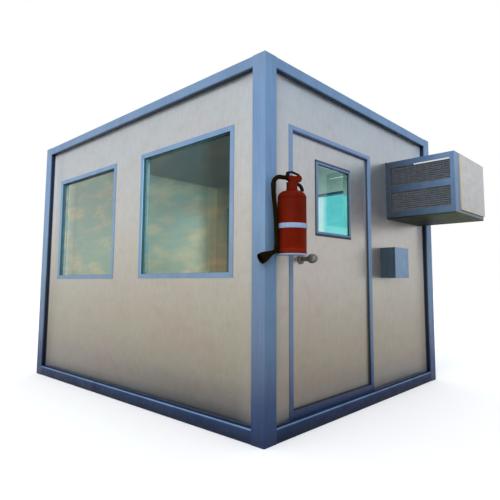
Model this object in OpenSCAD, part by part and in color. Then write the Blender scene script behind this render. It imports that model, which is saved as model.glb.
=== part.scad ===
// Security guard booth: a welded steel frame with recessed sheet-steel panels, two glazed windows
// on each long side, a hinged door, a through-wall air conditioner, an electric box and a
// wall-hung fire extinguisher. Millimetres, +Z up, long sides along X, door wall at +X.

/* [Booth] */
// Length over the corner posts
booth_l = 3550; // [3000:10:4400]
// Depth over the corner posts
booth_w = 2690; // [2500:10:3400]
// Height of the frame
booth_h = 2600; // [2450:10:3000]

/* [Frame] */
// Width of the square corner posts
post_w = 120; // [100:5:150]
// Height of the base rails
base_h = 95; // [80:5:130]
// Height of the top rails
top_h = 80; // [70:5:120]
// Outer corner radius of posts and rails
frame_r = 6; // [3:1:10]
// Width of a floor joist
joist_w = 60; // [40:5:80]
// Spacing of the floor joists
joist_pitch = 540; // [400:10:700]

/* [Walls, floor and roof] */
// Thickness of a wall panel
wall_t = 70; // [55:5:80]
// Thickness of the floor panel
floor_t = 40; // [30:5:60]
// Thickness of the ceiling panel
ceiling_t = 20; // [12:2:26]
// Height of a roof rib
rib_h = 18; // [10:2:24]
// Width of a roof rib at its foot
rib_w = 60; // [40:5:90]
// Spacing of the roof ribs
rib_pitch = 300; // [200:10:500]
// Height of the rail top over the rib tops
roof_drop = 4; // [2:1:10]

/* [Windows] */
// Distance from the booth's top down to every window, door and air conditioner
head_drop = 420; // [340:10:500]
// Width over a window frame
win_w = 1220; // [800:10:1260]
// Height over a window frame
win_h = 1114; // [700:10:1300]
// Face width of a window frame
win_face = 40; // [35:1:60]
// Shift of both windows from the middle of their halves towards the left
win_shift = 14; // [0:1:30]
// Overlap of a frame on its panel
frame_lap = 12; // [8:1:16]
// Height of a frame over its panel
frame_proud = 3; // [2:1:6]
// Thickness of the glass
glass_t = 6; // [4:1:10]
// Depth of the glass behind the frame face
glass_back = 36; // [20:1:40]
// Depth of the glass in its groove
glass_edge = 10; // [6:1:14]

/* [Door] */
// Panel width between the corner post and the door frame
door_off = 188; // [170:2:240]
// Clear width between the stops
door_w = 1070; // [800:10:1080]
// Face width of the door frame
door_face = 42; // [36:1:60]
// Height of the threshold over the floor panel
sill_up = 16; // [12:1:30]
// Thickness of the stop in front of the leaf
stop_t = 15; // [12:1:16]
// Thickness of the leaf
leaf_t = 52; // [40:1:52]
// Overlap of the leaf behind the stops
leaf_lap = 9; // [6:1:12]
// Gap round the leaf
door_gap = 7; // [6:1:9]
// Width over the window frame in the leaf
pane_w = 492; // [300:4:600]
// Height over the window frame in the leaf
pane_h = 588; // [300:4:800]
// Distance from the top of the leaf opening to the window frame
pane_drop = 152; // [100:4:300]
// Shift of that frame from the middle of the leaf towards the hinges
pane_shift = 14; // [0:2:40]
// Face width of the window frame in the leaf
pane_face = 26; // [24:1:40]
// Height of that frame over the leaf
pane_proud = 6; // [4:1:10]
// Depth of the glass behind that frame's face
pane_back = 9; // [8:1:30]

/* [Hinges] */
// Radius of a hinge knuckle
hinge_r = 8; // [7:0.5:10]
// Radius of a hinge pin
pin_r = 4; // [3:0.5:5]
// Running clearance round a pin
pin_gap = 0.05; // [0.02:0.01:0.1]
// Length of a hinge
hinge_l = 120; // [90:5:150]
// Width of a hinge plate
hinge_plate = 45; // [35:1:60]
// Thickness of a hinge plate
plate_t = 4; // [3:0.5:5]
// Distance of the end hinges from the leaf ends
hinge_in = 240; // [180:10:400]

/* [Knob] */
// Height of the knob over the threshold
knob_up = 1054; // [850:2:1150]
// Distance of the knob from the stop
knob_in = 112; // [90:2:160]
// Radius of the knob ball
knob_r = 34; // [24:1:36]
// Distance of the ball centre from the leaf
knob_out = 105; // [70:1:120]
// Radius of the spindle
spindle_r = 9; // [7:0.5:11]
// Radius of a rose
rose_r = 38; // [28:1:42]
// Thickness of a rose
rose_t = 16; // [8:1:18]

/* [Air conditioner] */
// Panel width between the door frame and the case
ac_gap = 308; // [200:2:460]
// Height of the case
ac_h = 548; // [400:4:600]
// Distance of its end from the panel
ac_out = 670; // [450:5:700]
// Panel width between the case and the corner post
ac_off = 60; // [50:5:160]
// Width of the case's face members
ac_rail = 56; // [40:2:70]
// Width of the case's end members
ac_stile = 38; // [28:2:50]
// Thickness of the end plate
end_t = 14; // [8:1:20]
// Thickness of the base pan
pan_t = 12; // [8:1:20]
// Spacing of the louvre blades
blade_pitch = 19; // [16:0.5:26]
// Thickness of a louvre blade
blade_t = 3; // [2:0.5:4]
// Depth of a louvre panel
louvre_d = 26; // [20:1:34]
// Frame width of a louvre panel
louvre_rim = 5; // [4:1:8]
// Depth of the indoor front
front_d = 62; // [40:2:80]
// Overlap of the indoor front on the wall
front_lap = 24; // [14:2:34]

/* [Electric box] */
// Width of the box
box_w = 268; // [200:4:320]
// Height of the box
box_h = 278; // [200:4:400]
// Depth of the box
box_d = 150; // [100:5:180]
// Thickness of its cover
cover_t = 16; // [10:1:24]
// Distance from the door frame to the box
box_off = 162; // [150:4:240]
// Distance from the air conditioner down to the box
box_drop = 281; // [120:1:420]

/* [Fire extinguisher] */
// Radius of the cylinder
ext_r = 97; // [70:1:97]
// Height of the cylinder wall
ext_h = 372; // [340:4:450]
// Radius of the shoulder
dome_r = 48; // [30:1:50]
// Height of the cylinder underside
ext_z = 1223; // [900:1:1300]
// Distance of its axis from the panel
ext_out = 141; // [140:1:170]
// Distance of its axis from the corner post
ext_off = 50; // [50:1:80]
// Height of the strap over the cylinder underside
strap_z = 166; // [100:2:240]
// Height of the strap
strap_h = 32; // [30:2:60]
// Thickness of the strap
strap_t = 5; // [2:0.5:5]
// Radius of the hose
hose_r = 15; // [12:0.5:15]

/* [Hidden] */
$fn = 64;

// Overlap that lets a cutter pass right through
eps = 1;

// Frame
half_l = booth_l / 2;
half_w = booth_w / 2;
in_l = half_l - post_w;
in_w = half_w - post_w;
recess = post_w - wall_t;
wall_top = booth_h - top_h;
head_z = booth_h - head_drop;
joist_n = floor((in_l - joist_w) / joist_pitch);

// Floor and roof
floor_top = base_h + floor_t;
roof_z = wall_top + ceiling_t;
roof_t = top_h - ceiling_t - rib_h - roof_drop;
rib_n = floor((in_l - rib_w) / rib_pitch);
rib_end = in_w - rib_w;

// Windows: each sits in its half of the wall
win_x = [-in_l / 2 - win_shift, in_l / 2 - win_shift];
win_z = head_z - win_h;
glass_fit = 1;

// Door, with x along the wall and y into the room from the outer panel face
door_x = -in_w + door_off + door_face + door_w / 2;
door_l = door_x - door_w / 2;
door_r = door_x + door_w / 2;
door_top = head_z - door_face;
door_sill = floor_top + sill_up;
hole_side = door_face - frame_lap;
rebate = leaf_lap + door_gap;
stop_y = stop_t - frame_proud;
leaf_y = wall_t - leaf_t;
leaf_l = door_l - leaf_lap;
leaf_r = door_r + leaf_lap;
leaf_bot = door_sill - leaf_lap;
leaf_top = door_top + leaf_lap;
pane_x = door_x + pane_shift;
pane_z = door_top - pane_drop - pane_h;
pane_lap = 10;

// Hinges
hinge_x = leaf_r + door_gap / 2;
hinge_y = wall_t + hinge_r;
hinge_z = [leaf_bot + hinge_in, (leaf_bot + leaf_top) / 2, leaf_top - hinge_in];
knuckle_l = hinge_l / 3;
knuckle_gap = 0.5;
plate_in = hinge_r + 2;

// Knob
knob_x = door_l + knob_in;
knob_z = door_sill + knob_up;
neck_r = spindle_r + 2;
sleeve_r = neck_r + 6;
sleeve_gap = 5;
knob_long = 1.3;
key_w = 3;
key_h = 16;
key_d = 4;

// Air conditioner
ac_l = door_r + door_face + ac_gap;
ac_r = in_w - ac_off;
ac_w = ac_r - ac_l;
ac_z = head_z - ac_h;
case_z = ac_z + pan_t;
case_h = ac_h - pan_t;
case_end = ac_out - end_t;
field_l = case_end - 2 * ac_stile;
field_h = (case_h - 3 * ac_rail) / 2;
blade_n = floor((field_h - 2 * louvre_rim) / blade_pitch);
blade_rise = 12;
pan_in = 6;
plate_side = 113;
plate_low = 52;
plate_edge = 8;
slot_h = 10;
slot_pitch = 24;
slot_d = 8;
slot_in = 50;
slot_n = floor((ac_h - 2 * slot_in) / slot_pitch);
front_r = 14;

// Electric box
box_l = door_r + door_face + box_off;
box_z = ac_z - box_drop - box_h;
seam = 3;
seam_d = 4;

// Fire extinguisher: its x points from the axis to the levers, and the hose hangs at -x
ext_turn = 72.5;
ext_x = -in_w + ext_off;
foot_r = 6;
strap_gap = 0.3;
shelf_t = 8;
shelf_r = ext_r + 4;
back_w = 70;
back_t = 6;
arm_w = 40;
neck_z = ext_h + dome_r;
neck_h = 61;
collar_r = 37;
valve_r = 27;
block_z = neck_z + neck_h + 12;
block_h = 32;
block_l = -34;
block_r = 30;
block_w = 32;
gauge_r = 21;
gauge_x = 52;
gauge_l = 26;
lug_l = 38;
lug_h = 14;
lug_drop = 22;
lever_w = 14;
grip_r = 46;
grip_t = 20;
bend_r = 55;
elbow_l = -90;
hose_x = elbow_l - bend_r;
hose_z = block_z + block_h / 2 - bend_r;
collar_h = 24;
horn_turn = 64;
horn_base = 17;

// Hose route from the elbow down to the horn, as steps from the elbow's open end
hose_route = [
    [0, 0, 0], [0, 0, -20], [1, 0, -50], [4, 0, -80], [8, 0, -110], [12, 0, -140],
    [15, 0, -170], [18, 0, -200], [20, 0, -230], [22, 0, -260], [23, 0, -290], [24, 0, -320],
    [25, 0, -350], [25, 0, -375], [25, 0, -395], [25, 0, -410]
];
hose_sides = 12;

// A box by its limits
module limits(x0, x1, y0, y1, z0, z1) {
    translate([x0, y0, z0])
        cube([x1 - x0, y1 - y0, z1 - z0]);
}

// A rectangle with round corners, centred
module rounded(w, d, r) {
    square([w - 2 * r, d], center = true);
    square([w, d - 2 * r], center = true);
    for (x = [-1, 1], y = [-1, 1])
        translate([x * (w / 2 - r), y * (d / 2 - r)])
            circle(r = r);
}

// A rail along X, centred, standing on z = 0
module rail(len, h) {
    translate([-len / 2, 0, h / 2])
        rotate([90, 0, 90])
            linear_extrude(height = len)
                rounded(post_w, h, frame_r);
}

// The two long sides: children drawn with x along the wall, y into the room from the panel face
module on_front() {
    translate([0, -half_w + recess, 0])
        children();
}

module on_back() {
    translate([0, half_w - recess, 0])
        rotate([0, 0, 180])
            children();
}

// The door wall, with x along +Y and y into the room
module on_door_wall() {
    translate([half_l - recess, 0, 0])
        rotate([0, 0, 90])
            children();
}

// The extinguisher, with its axis on z and its underside at z = 0
module at_extinguisher() {
    on_door_wall()
        translate([ext_x, -ext_out, ext_z])
            rotate([0, 0, ext_turn - 90])
                children();
}

module post(sx, sy) {
    color("#7c9ac4")
        translate([sx * (half_l - post_w / 2), sy * (half_w - post_w / 2), 0])
            linear_extrude(height = booth_h)
                rounded(post_w, post_w, frame_r);
}

module post_front_left() {
    post(-1, -1);
}

module post_front_right() {
    post(1, -1);
}

module post_back_left() {
    post(-1, 1);
}

module post_back_right() {
    post(1, 1);
}

module side_rails(z, h) {
    for (s = [-1, 1])
        translate([0, s * (half_w - post_w / 2), z])
            rail(2 * in_l, h);
}

module end_rails(z, h) {
    for (s = [-1, 1])
        translate([s * (half_l - post_w / 2), 0, z])
            rotate([0, 0, 90])
                rail(2 * in_w, h);
}

module base_side_rails() {
    color("#4a628c")
        side_rails(0, base_h);
}

module base_end_rails() {
    color("#4a628c")
        end_rails(0, base_h);
}

module top_side_rails() {
    color("#7c9ac4")
        side_rails(wall_top, top_h);
}

module top_end_rails() {
    color("#7c9ac4")
        end_rails(wall_top, top_h);
}

module floor_joists() {
    color("#4a628c")
        for (i = [-joist_n : joist_n])
            translate([i * joist_pitch - joist_w / 2, -in_w, 0])
                cube([joist_w, 2 * in_w, base_h]);
}

module floor_panel() {
    color("#77776f")
        limits(-in_l, in_l, -in_w, in_w, base_h, floor_top);
}

module ceiling_panel() {
    color("#8f9699")
        limits(-in_l, in_l, -in_w, in_w, wall_top, roof_z);
}

// Flat sheet with ribs across the roof
module roof_sheet() {
    color("#b4b6b6") {
        limits(-in_l, in_l, -in_w, in_w, roof_z, roof_z + roof_t);
        for (i = [-rib_n : rib_n])
            translate([i * rib_pitch, rib_end, roof_z + roof_t])
                rotate([90, 0, 0])
                    linear_extrude(height = 2 * rib_end)
                        rib_section();
    }
}

module rib_section() {
    polygon([
        [-rib_w / 2, -eps], [rib_w / 2, -eps], [rib_w / 2, 0],
        [rib_w / 4, rib_h], [-rib_w / 4, rib_h], [-rib_w / 2, 0]
    ]);
}

// A long wall with its two window holes
module window_wall() {
    color("#b5b6b5")
        difference() {
            limits(-in_l, in_l, 0, wall_t, base_h, wall_top);
            for (x = win_x)
                translate([x, 0, win_z + win_h / 2])
                    panel_hole(win_w - 2 * frame_lap, win_h - 2 * frame_lap);
        }
}

module panel_hole(w, h) {
    limits(-w / 2, w / 2, -eps, wall_t + eps, -h / 2, h / 2);
}

module front_wall() {
    on_front()
        window_wall();
}

module back_wall() {
    on_back()
        window_wall();
}

module left_wall() {
    color("#b5b6b5")
        limits(-half_l + recess, -in_l, -in_w, in_w, base_h, wall_top);
}

module door_wall_strip() {
    color("#b5b6b5")
        on_door_wall()
            limits(-in_w, door_l - hole_side, 0, wall_t, base_h, wall_top);
}

module door_wall_over() {
    color("#b5b6b5")
        on_door_wall()
            limits(door_l - hole_side, door_r + hole_side, 0, wall_t, door_top + hole_side, wall_top);
}

module door_wall_far() {
    color("#b5b6b5")
        on_door_wall()
            difference() {
                limits(door_r + hole_side, in_w, 0, wall_t, base_h, wall_top);
                limits(ac_l, ac_r, -eps, wall_t + eps, case_z, head_z);
            }
}

// A window frame round the middle of its hole: flange, body, clear opening and glass groove
module glazed_frame(w, h, face, lap, proud, back, depth) {
    difference() {
        union() {
            limits(-w / 2, w / 2, -proud, 0, -h / 2, h / 2);
            limits(-w / 2 + lap, w / 2 - lap, -proud, depth, -h / 2 + lap, h / 2 - lap);
        }
        limits(-w / 2 + face, w / 2 - face, -proud - eps, depth + eps, -h / 2 + face, h / 2 - face);
        glass(w - 2 * face + 2 * glass_edge, h - 2 * face + 2 * glass_edge, back - proud);
    }
}

module glass(w, h, y) {
    limits(-w / 2, w / 2, y, y + glass_t, -h / 2, h / 2);
}

module window_frames() {
    color("#7c9ac4")
        for (x = win_x)
            translate([x, 0, win_z + win_h / 2])
                glazed_frame(win_w, win_h, win_face, frame_lap, frame_proud, glass_back, wall_t);
}

module window_panes() {
    edge = 2 * (win_face - glass_edge + glass_fit);
    color("#9fbfba", 0.5)
        for (x = win_x)
            translate([x, 0, win_z + win_h / 2])
                glass(win_w - edge, win_h - edge, glass_back - frame_proud);
}

module front_window_frames() {
    on_front()
        window_frames();
}

module front_window_panes() {
    on_front()
        window_panes();
}

module back_window_frames() {
    on_back()
        window_frames();
}

module back_window_panes() {
    on_back()
        window_panes();
}

// Section of a jamb behind its flange: x out from the clear edge, y into the room
module jamb_section() {
    polygon([
        [0, -frame_proud], [hole_side, -frame_proud], [hole_side, wall_t],
        [rebate, wall_t], [rebate, stop_y], [0, stop_y]
    ]);
}

// Jambs from the base rail up: the body ends at the panel over the door, the flange laps it
module door_jambs() {
    color("#7c9ac4")
        on_door_wall()
            for (s = [0, 1])
                translate([s == 0 ? door_l : door_r, 0, base_h])
                    mirror([1 - s, 0, 0]) {
                        linear_extrude(height = door_top + hole_side - base_h)
                            jamb_section();
                        limits(0, door_face, -frame_proud, 0, 0, head_z - base_h);
                    }
}

// Head between the jambs: the stop reaches the jamb stops, the body the jamb bodies
module door_head() {
    color("#7c9ac4")
        on_door_wall() {
            limits(door_l, door_r, -frame_proud, 0, door_top, head_z);
            limits(door_l, door_r, -frame_proud, stop_y, door_top, door_top + hole_side);
            limits(door_l, door_r, 0, wall_t, door_top + rebate, door_top + hole_side);
            limits(door_l - rebate, door_r + rebate, stop_y, wall_t, door_top + rebate, door_top + hole_side);
        }
}

module door_threshold() {
    color("#4a628c")
        on_door_wall() {
            limits(door_l, door_r, -frame_proud, stop_y, base_h, door_sill);
            limits(door_l, door_r, 0, wall_t, base_h, door_sill - rebate);
            limits(door_l - rebate, door_r + rebate, stop_y, wall_t, base_h, door_sill - rebate);
        }
}

// Leaf with the hole of its window and the bore of the knob spindle
module door_leaf() {
    color("#b5b6b5")
        on_door_wall()
            difference() {
                limits(leaf_l, leaf_r, leaf_y, wall_t, leaf_bot, leaf_top);
                translate([pane_x, 0, pane_z + pane_h / 2])
                    panel_hole(pane_w - 2 * pane_lap, pane_h - 2 * pane_lap);
                at_knob()
                    cylinder(r = neck_r + 4, h = 2 * leaf_t, center = true);
            }
}

module door_window_frame() {
    color("#7c9ac4")
        on_door_wall()
            translate([pane_x, leaf_y, pane_z + pane_h / 2])
                glazed_frame(pane_w, pane_h, pane_face, pane_lap, pane_proud, pane_back, leaf_t);
}

module door_window_pane() {
    edge = 2 * (pane_face - glass_edge + glass_fit);
    color("#9fd0cc", 0.5)
        on_door_wall()
            translate([pane_x, leaf_y, pane_z + pane_h / 2])
                glass(pane_w - edge, pane_h - edge, pane_back - pane_proud);
}

// Hinges on the room side: the pin and the end knuckles stay with the frame
module hinge_fixed_halves() {
    color("#8d9094")
        on_door_wall()
            for (z = hinge_z)
                translate([hinge_x, hinge_y, z]) {
                    cylinder(r = pin_r, h = hinge_l, center = true);
                    for (s = [-1, 1])
                        translate([0, 0, s * knuckle_l]) {
                            cylinder(r = hinge_r, h = knuckle_l, center = true);
                            limits(0, plate_in + eps, 0, hinge_r, -knuckle_l / 2, knuckle_l / 2);
                        }
                    limits(
                        plate_in, plate_in + hinge_plate, -hinge_r, plate_t - hinge_r,
                        -hinge_l / 2, hinge_l / 2
                    );
                    for (s = [-1, 1])
                        translate([0, 0, s * knuckle_l])
                            limits(
                                plate_in, plate_in + plate_t, -hinge_r, hinge_r,
                                -knuckle_l / 2, knuckle_l / 2
                            );
                }
}

module hinge_door_halves() {
    mid = knuckle_l / 2 - knuckle_gap;
    color("#8d9094")
        on_door_wall()
            for (z = hinge_z)
                translate([hinge_x, hinge_y, z])
                    difference() {
                        union() {
                            cylinder(r = hinge_r, h = 2 * mid, center = true);
                            limits(-plate_in - eps, 0, 0, hinge_r, -mid, mid);
                            limits(-plate_in - plate_t, -plate_in, -hinge_r, hinge_r, -mid, mid);
                            limits(-plate_in - hinge_plate, -plate_in, -hinge_r, plate_t - hinge_r,
                                -hinge_l / 2, hinge_l / 2);
                        }
                        cylinder(r = pin_r + pin_gap, h = hinge_l, center = true);
                    }
}

// Axis of the knob, with z pointing out of the booth and z = 0 in the middle of the leaf
module at_knob() {
    translate([knob_x, leaf_y + leaf_t / 2, knob_z])
        rotate([90, 0, 0])
            children();
}

module knob_roses() {
    color("#7d7873")
        on_door_wall()
            at_knob()
                for (s = [0, 1])
                    mirror([0, 0, s])
                        translate([0, 0, leaf_t / 2])
                            difference() {
                                union() {
                                    cylinder(r = rose_r, h = rose_t / 2);
                                    cylinder(r1 = rose_r, r2 = rose_r - rose_t / 2, h = rose_t);
                                }
                                translate([0, 0, -eps])
                                    cylinder(r = neck_r + pin_gap, h = rose_t + 2 * eps);
                            }
}

// One turned piece: outer ball, spindle through the leaf, inner ball
module door_knob() {
    reach = leaf_t / 2 + knob_out;
    sleeve_start = rose_t + sleeve_gap - knob_out;
    sleeve_l = -sleeve_start - knob_r / 2;
    color("#7d7873")
        on_door_wall()
            at_knob()
                difference() {
                    union() {
                        cylinder(r = neck_r, h = 2 * reach, center = true);
                        for (s = [0, 1])
                            mirror([0, 0, s])
                                translate([0, 0, reach]) {
                                    scale([1, 1, knob_long])
                                        sphere(r = knob_r);
                                    translate([0, 0, sleeve_start])
                                        cylinder(r1 = sleeve_r, r2 = sleeve_r + 2, h = sleeve_l);
                                }
                    }
                    translate([0, 0, reach + knob_r * knob_long])
                        cube([key_w, key_h, 2 * key_d], center = true);
                }
}

// Limits of the two louvre panels in one side of the case, lower then upper
function field_z(i) = case_z + ac_rail + i * (field_h + ac_rail);

module ac_case() {
    color("#5878a8")
        on_door_wall()
            difference() {
                limits(ac_l, ac_r, -case_end, wall_t, case_z, head_z);
                for (i = [0, 1])
                    for (x = [ac_l - eps, ac_r - louvre_d])
                        limits(
                            x, x + louvre_d + eps, ac_stile - case_end, -ac_stile,
                            field_z(i), field_z(i) + field_h
                        );
            }
}

// Blades of one panel: x into the case, y along it; the outer edge is the lower one
module louvre_panel() {
    difference() {
        cube([louvre_d, field_l, field_h]);
        translate([-eps, louvre_rim, louvre_rim])
            cube([louvre_d + 2 * eps, field_l - 2 * louvre_rim, field_h - 2 * louvre_rim]);
    }
    for (i = [0 : blade_n - 1])
        translate([0, field_l - louvre_rim + eps, louvre_rim + i * blade_pitch])
            rotate([90, 0, 0])
                linear_extrude(height = field_l - 2 * louvre_rim + 2 * eps)
                    polygon([
                        [1, 2], [louvre_d - 1, 2 + blade_rise],
                        [louvre_d - 1, 2 + blade_rise + blade_t], [1, 2 + blade_t]
                    ]);
}

module ac_louvres() {
    color("#54585e")
        on_door_wall()
            for (i = [0, 1])
                for (s = [0, 1])
                    translate([s == 0 ? ac_l : ac_r, ac_stile - case_end, field_z(i)])
                        mirror([s, 0, 0])
                            louvre_panel();
}

module ac_end_plate() {
    color("#c4c4be")
        on_door_wall()
            limits(ac_l + plate_side, ac_r, -ac_out, -case_end, ac_z + plate_low, head_z - plate_edge);
}

module ac_base_pan() {
    color("#5c5f4a")
        on_door_wall()
            limits(ac_l + pan_in, ac_r - pan_in, -case_end, 0, ac_z, case_z);
}

// Indoor front with its intake slots
module ac_indoor_front() {
    w = ac_w + 2 * front_lap;
    h = ac_h + 2 * front_lap;
    color("#d2d2cc")
        on_door_wall()
            translate([(ac_l + ac_r) / 2, wall_t, ac_z + ac_h / 2])
                difference() {
                    rotate([-90, 0, 0])
                        linear_extrude(height = front_d)
                            rounded(w, h, front_r);
                    for (i = [0 : slot_n - 1])
                        translate([0, front_d, (i - (slot_n - 1) / 2) * slot_pitch])
                            cube([ac_w - 2 * slot_in, 2 * slot_d, slot_h], center = true);
                }
}

module electric_box() {
    depth = box_d - cover_t;
    color("#5f7699")
        on_door_wall() {
            limits(box_l, box_l + box_w, seam_d - depth, 0, box_z, box_z + box_h);
            limits(box_l + seam, box_l + box_w - seam, -depth, 0, box_z + seam, box_z + box_h - seam);
        }
}

module electric_box_cover() {
    color("#6f88ad")
        on_door_wall()
            limits(box_l, box_l + box_w, -box_d, cover_t - box_d, box_z, box_z + box_h);
}

// Back plate, strap and foot of the extinguisher's wall bracket
module extinguisher_bracket() {
    axis_y = -ext_out;
    color("#a9b6c6")
        on_door_wall()
            translate([ext_x, 0, ext_z])
                difference() {
                    union() {
                        limits(-back_w / 2, back_w / 2, -back_t, 0, -shelf_t, strap_z + strap_h + 30);
                        limits(-arm_w / 2, arm_w / 2, axis_y + ext_r - 10, 0, strap_z, strap_z + strap_h);
                        limits(-arm_w / 2, arm_w / 2, axis_y, 0, -shelf_t, 0);
                        translate([0, axis_y, -shelf_t])
                            cylinder(r = shelf_r, h = shelf_t);
                        translate([0, axis_y, strap_z])
                            cylinder(r = ext_r + strap_gap + strap_t, h = strap_h);
                    }
                    translate([0, axis_y, 0])
                        cylinder(r = ext_r + strap_gap, h = strap_z + strap_h + 40);
                }
}

module extinguisher_cylinder() {
    color("#6e1c10")
        at_extinguisher()
            rotate_extrude() {
                translate([0, foot_r])
                    square([ext_r, ext_h - foot_r]);
                square([ext_r - foot_r, foot_r + eps]);
                square([ext_r - dome_r, neck_z]);
                difference() {
                    union() {
                        translate([ext_r - foot_r, foot_r])
                            circle(r = foot_r);
                        translate([ext_r - dome_r, ext_h])
                            circle(r = dome_r);
                    }
                    translate([-booth_h, 0])
                        square([booth_h, booth_h]);
                }
            }
}

// Red valve: neck collar, stem, block for levers and elbow, gauge and lug
module extinguisher_valve() {
    top = block_z + block_h;
    color("#6e1c10")
        at_extinguisher() {
            translate([0, 0, neck_z])
                cylinder(r = collar_r, h = neck_h);
            translate([0, 0, neck_z])
                cylinder(r = valve_r, h = top - neck_z - 4);
            limits(block_l, block_r, -block_w / 2, block_w / 2, block_z, top);
            translate([gauge_x, 0, block_z + block_h / 2])
                rotate([90, 0, 0])
                    cylinder(r = gauge_r, h = gauge_l, center = true);
            limits(0, gauge_x, -lever_w / 2, lever_w / 2, block_z + 8, top - 8);
            limits(valve_r - 6, lug_l, -lever_w / 2, lever_w / 2, block_z - lug_drop, block_z + 10);
        }
}

// Squeeze lever on the block and fixed grip on the lug
module extinguisher_levers() {
    top = block_z + block_h;
    color("#1d1a17")
        at_extinguisher() {
            translate([0, lever_w / 2, top])
                rotate([90, 0, 0])
                    linear_extrude(height = lever_w)
                        polygon([
                            [block_l - 14, 0], [block_l + 12, 0], [block_l + 10, 12], [-2, 22],
                            [56, 9], [60, 18], [0, 34], [block_l - 6, 26]
                        ]);
            translate([lug_l, lever_w / 2, block_z - lug_drop + lug_h - grip_r - grip_t / 2])
                rotate([90, 0, 0])
                    linear_extrude(height = lever_w)
                        intersection() {
                            difference() {
                                circle(r = grip_r + grip_t / 2);
                                circle(r = grip_r - grip_t / 2);
                            }
                            square(2 * grip_r);
                        }
        }
}

module hose_elbow() {
    color("#241e18")
        at_extinguisher()
            translate([0, 0, block_z + block_h / 2]) {
                translate([elbow_l, 0, 0])
                    rotate([0, 90, 0])
                        cylinder(r = hose_r, h = block_l - elbow_l);
                translate([elbow_l, 0, -bend_r])
                    rotate([90, 0, 180])
                        rotate_extrude(angle = 90)
                            translate([bend_r, 0])
                                circle(r = hose_r);
            }
}

// One ring of the hose skin at route point i, square to the route there
function ring(p, i) = let(
    a = p[max(i - 1, 0)],
    b = p[min(i + 1, len(p) - 1)],
    t = (b - a) / norm(b - a),
    v = [0, 1, 0],
    u = cross(v, t)
) [for (k = [0 : hose_sides - 1])
    p[i] + hose_r * (cos(k * 360 / hose_sides) * u + sin(k * 360 / hose_sides) * v)];

module extinguisher_hose() {
    n = len(hose_route);
    skin = [for (i = [0 : n - 1]) each ring(hose_route, i)];
    sides = [for (i = [0 : n - 2], k = [0 : hose_sides - 1])
        let(m = (k + 1) % hose_sides, a = i * hose_sides, b = a + hose_sides)
        [a + k, b + k, b + m, a + m]];
    first = [for (k = [0 : hose_sides - 1]) k];
    last = [for (k = [hose_sides - 1 : -1 : 0]) (n - 1) * hose_sides + k];
    color("#241e18")
        at_extinguisher()
            translate([hose_x, 0, hose_z])
                polyhedron(points = skin, faces = concat([first], sides, [last]), convexity = 6);
}

// Collar on the hose end and flared horn with an open mouth
module extinguisher_horn() {
    stop = hose_route[len(hose_route) - 1];
    color("#241e18")
        at_extinguisher()
            translate([hose_x, 0, hose_z] + stop) {
                translate([0, 0, -collar_h])
                    cylinder(r = horn_base, h = collar_h);
                translate([0, 0, -collar_h])
                    sphere(r = horn_base);
                translate([0, 0, -collar_h])
                    rotate([0, 180 + horn_turn, 0])
                        rotate_extrude()
                            polygon([
                                [0, 0], [14, 0], [14, 30], [20, 55], [30, 85], [35, 108], [36, 132],
                                [32, 132], [31, 108], [26, 86], [16, 58], [6, 48], [0, 48]
                            ]);
            }
}

post_front_left();
post_front_right();
post_back_left();
post_back_right();
base_side_rails();
base_end_rails();
top_side_rails();
top_end_rails();
floor_joists();
floor_panel();
ceiling_panel();
roof_sheet();
front_wall();
back_wall();
left_wall();
door_wall_strip();
door_wall_over();
door_wall_far();
front_window_frames();
front_window_panes();
back_window_frames();
back_window_panes();
door_jambs();
door_head();
door_threshold();
door_leaf();
door_window_frame();
door_window_pane();
hinge_fixed_halves();
hinge_door_halves();
knob_roses();
door_knob();
ac_case();
ac_louvres();
ac_end_plate();
ac_base_pan();
ac_indoor_front();
electric_box();
electric_box_cover();
extinguisher_bracket();
extinguisher_cylinder();
extinguisher_valve();
extinguisher_levers();
hose_elbow();
extinguisher_hose();
extinguisher_horn();
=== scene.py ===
"""Looks of the security guard booth: camera, studio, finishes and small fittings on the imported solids."""
import logging
import math
from dataclasses import dataclass
from enum import Enum
from typing import Protocol, Sequence, Union

import bmesh
import bpy
from mathutils import Matrix, Vector


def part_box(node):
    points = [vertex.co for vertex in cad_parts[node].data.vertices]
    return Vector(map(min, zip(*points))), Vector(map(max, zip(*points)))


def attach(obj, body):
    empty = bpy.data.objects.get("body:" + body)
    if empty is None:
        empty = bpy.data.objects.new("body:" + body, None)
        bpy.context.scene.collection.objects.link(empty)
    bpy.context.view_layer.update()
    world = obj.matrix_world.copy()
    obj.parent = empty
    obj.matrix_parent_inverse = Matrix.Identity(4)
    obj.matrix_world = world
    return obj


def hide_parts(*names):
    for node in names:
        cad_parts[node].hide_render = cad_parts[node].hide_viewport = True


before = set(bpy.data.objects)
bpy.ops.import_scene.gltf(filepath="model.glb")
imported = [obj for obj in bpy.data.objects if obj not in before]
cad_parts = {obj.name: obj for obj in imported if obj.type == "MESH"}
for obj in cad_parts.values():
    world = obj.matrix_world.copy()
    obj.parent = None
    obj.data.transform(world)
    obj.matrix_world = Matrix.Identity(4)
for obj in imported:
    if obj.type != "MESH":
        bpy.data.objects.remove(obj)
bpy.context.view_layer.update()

LOG = logging.getLogger("booth")
IMAGE_PX = 500

Point = tuple[float, float, float]
Profile = tuple[tuple[float, float], ...]
Size = Union[float, tuple[float, float, float]]
Value = Union[float, Sequence[float], bpy.types.NodeSocket]

# Main planes of the booth in metres, as the part's source has them
HALF_L, HALF_W, HEIGHT = 1.775, 1.345, 2.600
POST, RECESS = 0.120, 0.050
IN_L, IN_W = HALF_L - POST, HALF_W - POST
PANEL_X, PANEL_Y = HALF_L - RECESS, HALF_W - RECESS
BASE, WALL_TOP, HEAD = 0.095, 2.520, 2.180
FRAME_PROUD, LEAF_BACK, LEAF_FRAME = 0.003, 0.018, 0.006

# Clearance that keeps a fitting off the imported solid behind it
CLEAR = 0.0002
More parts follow.
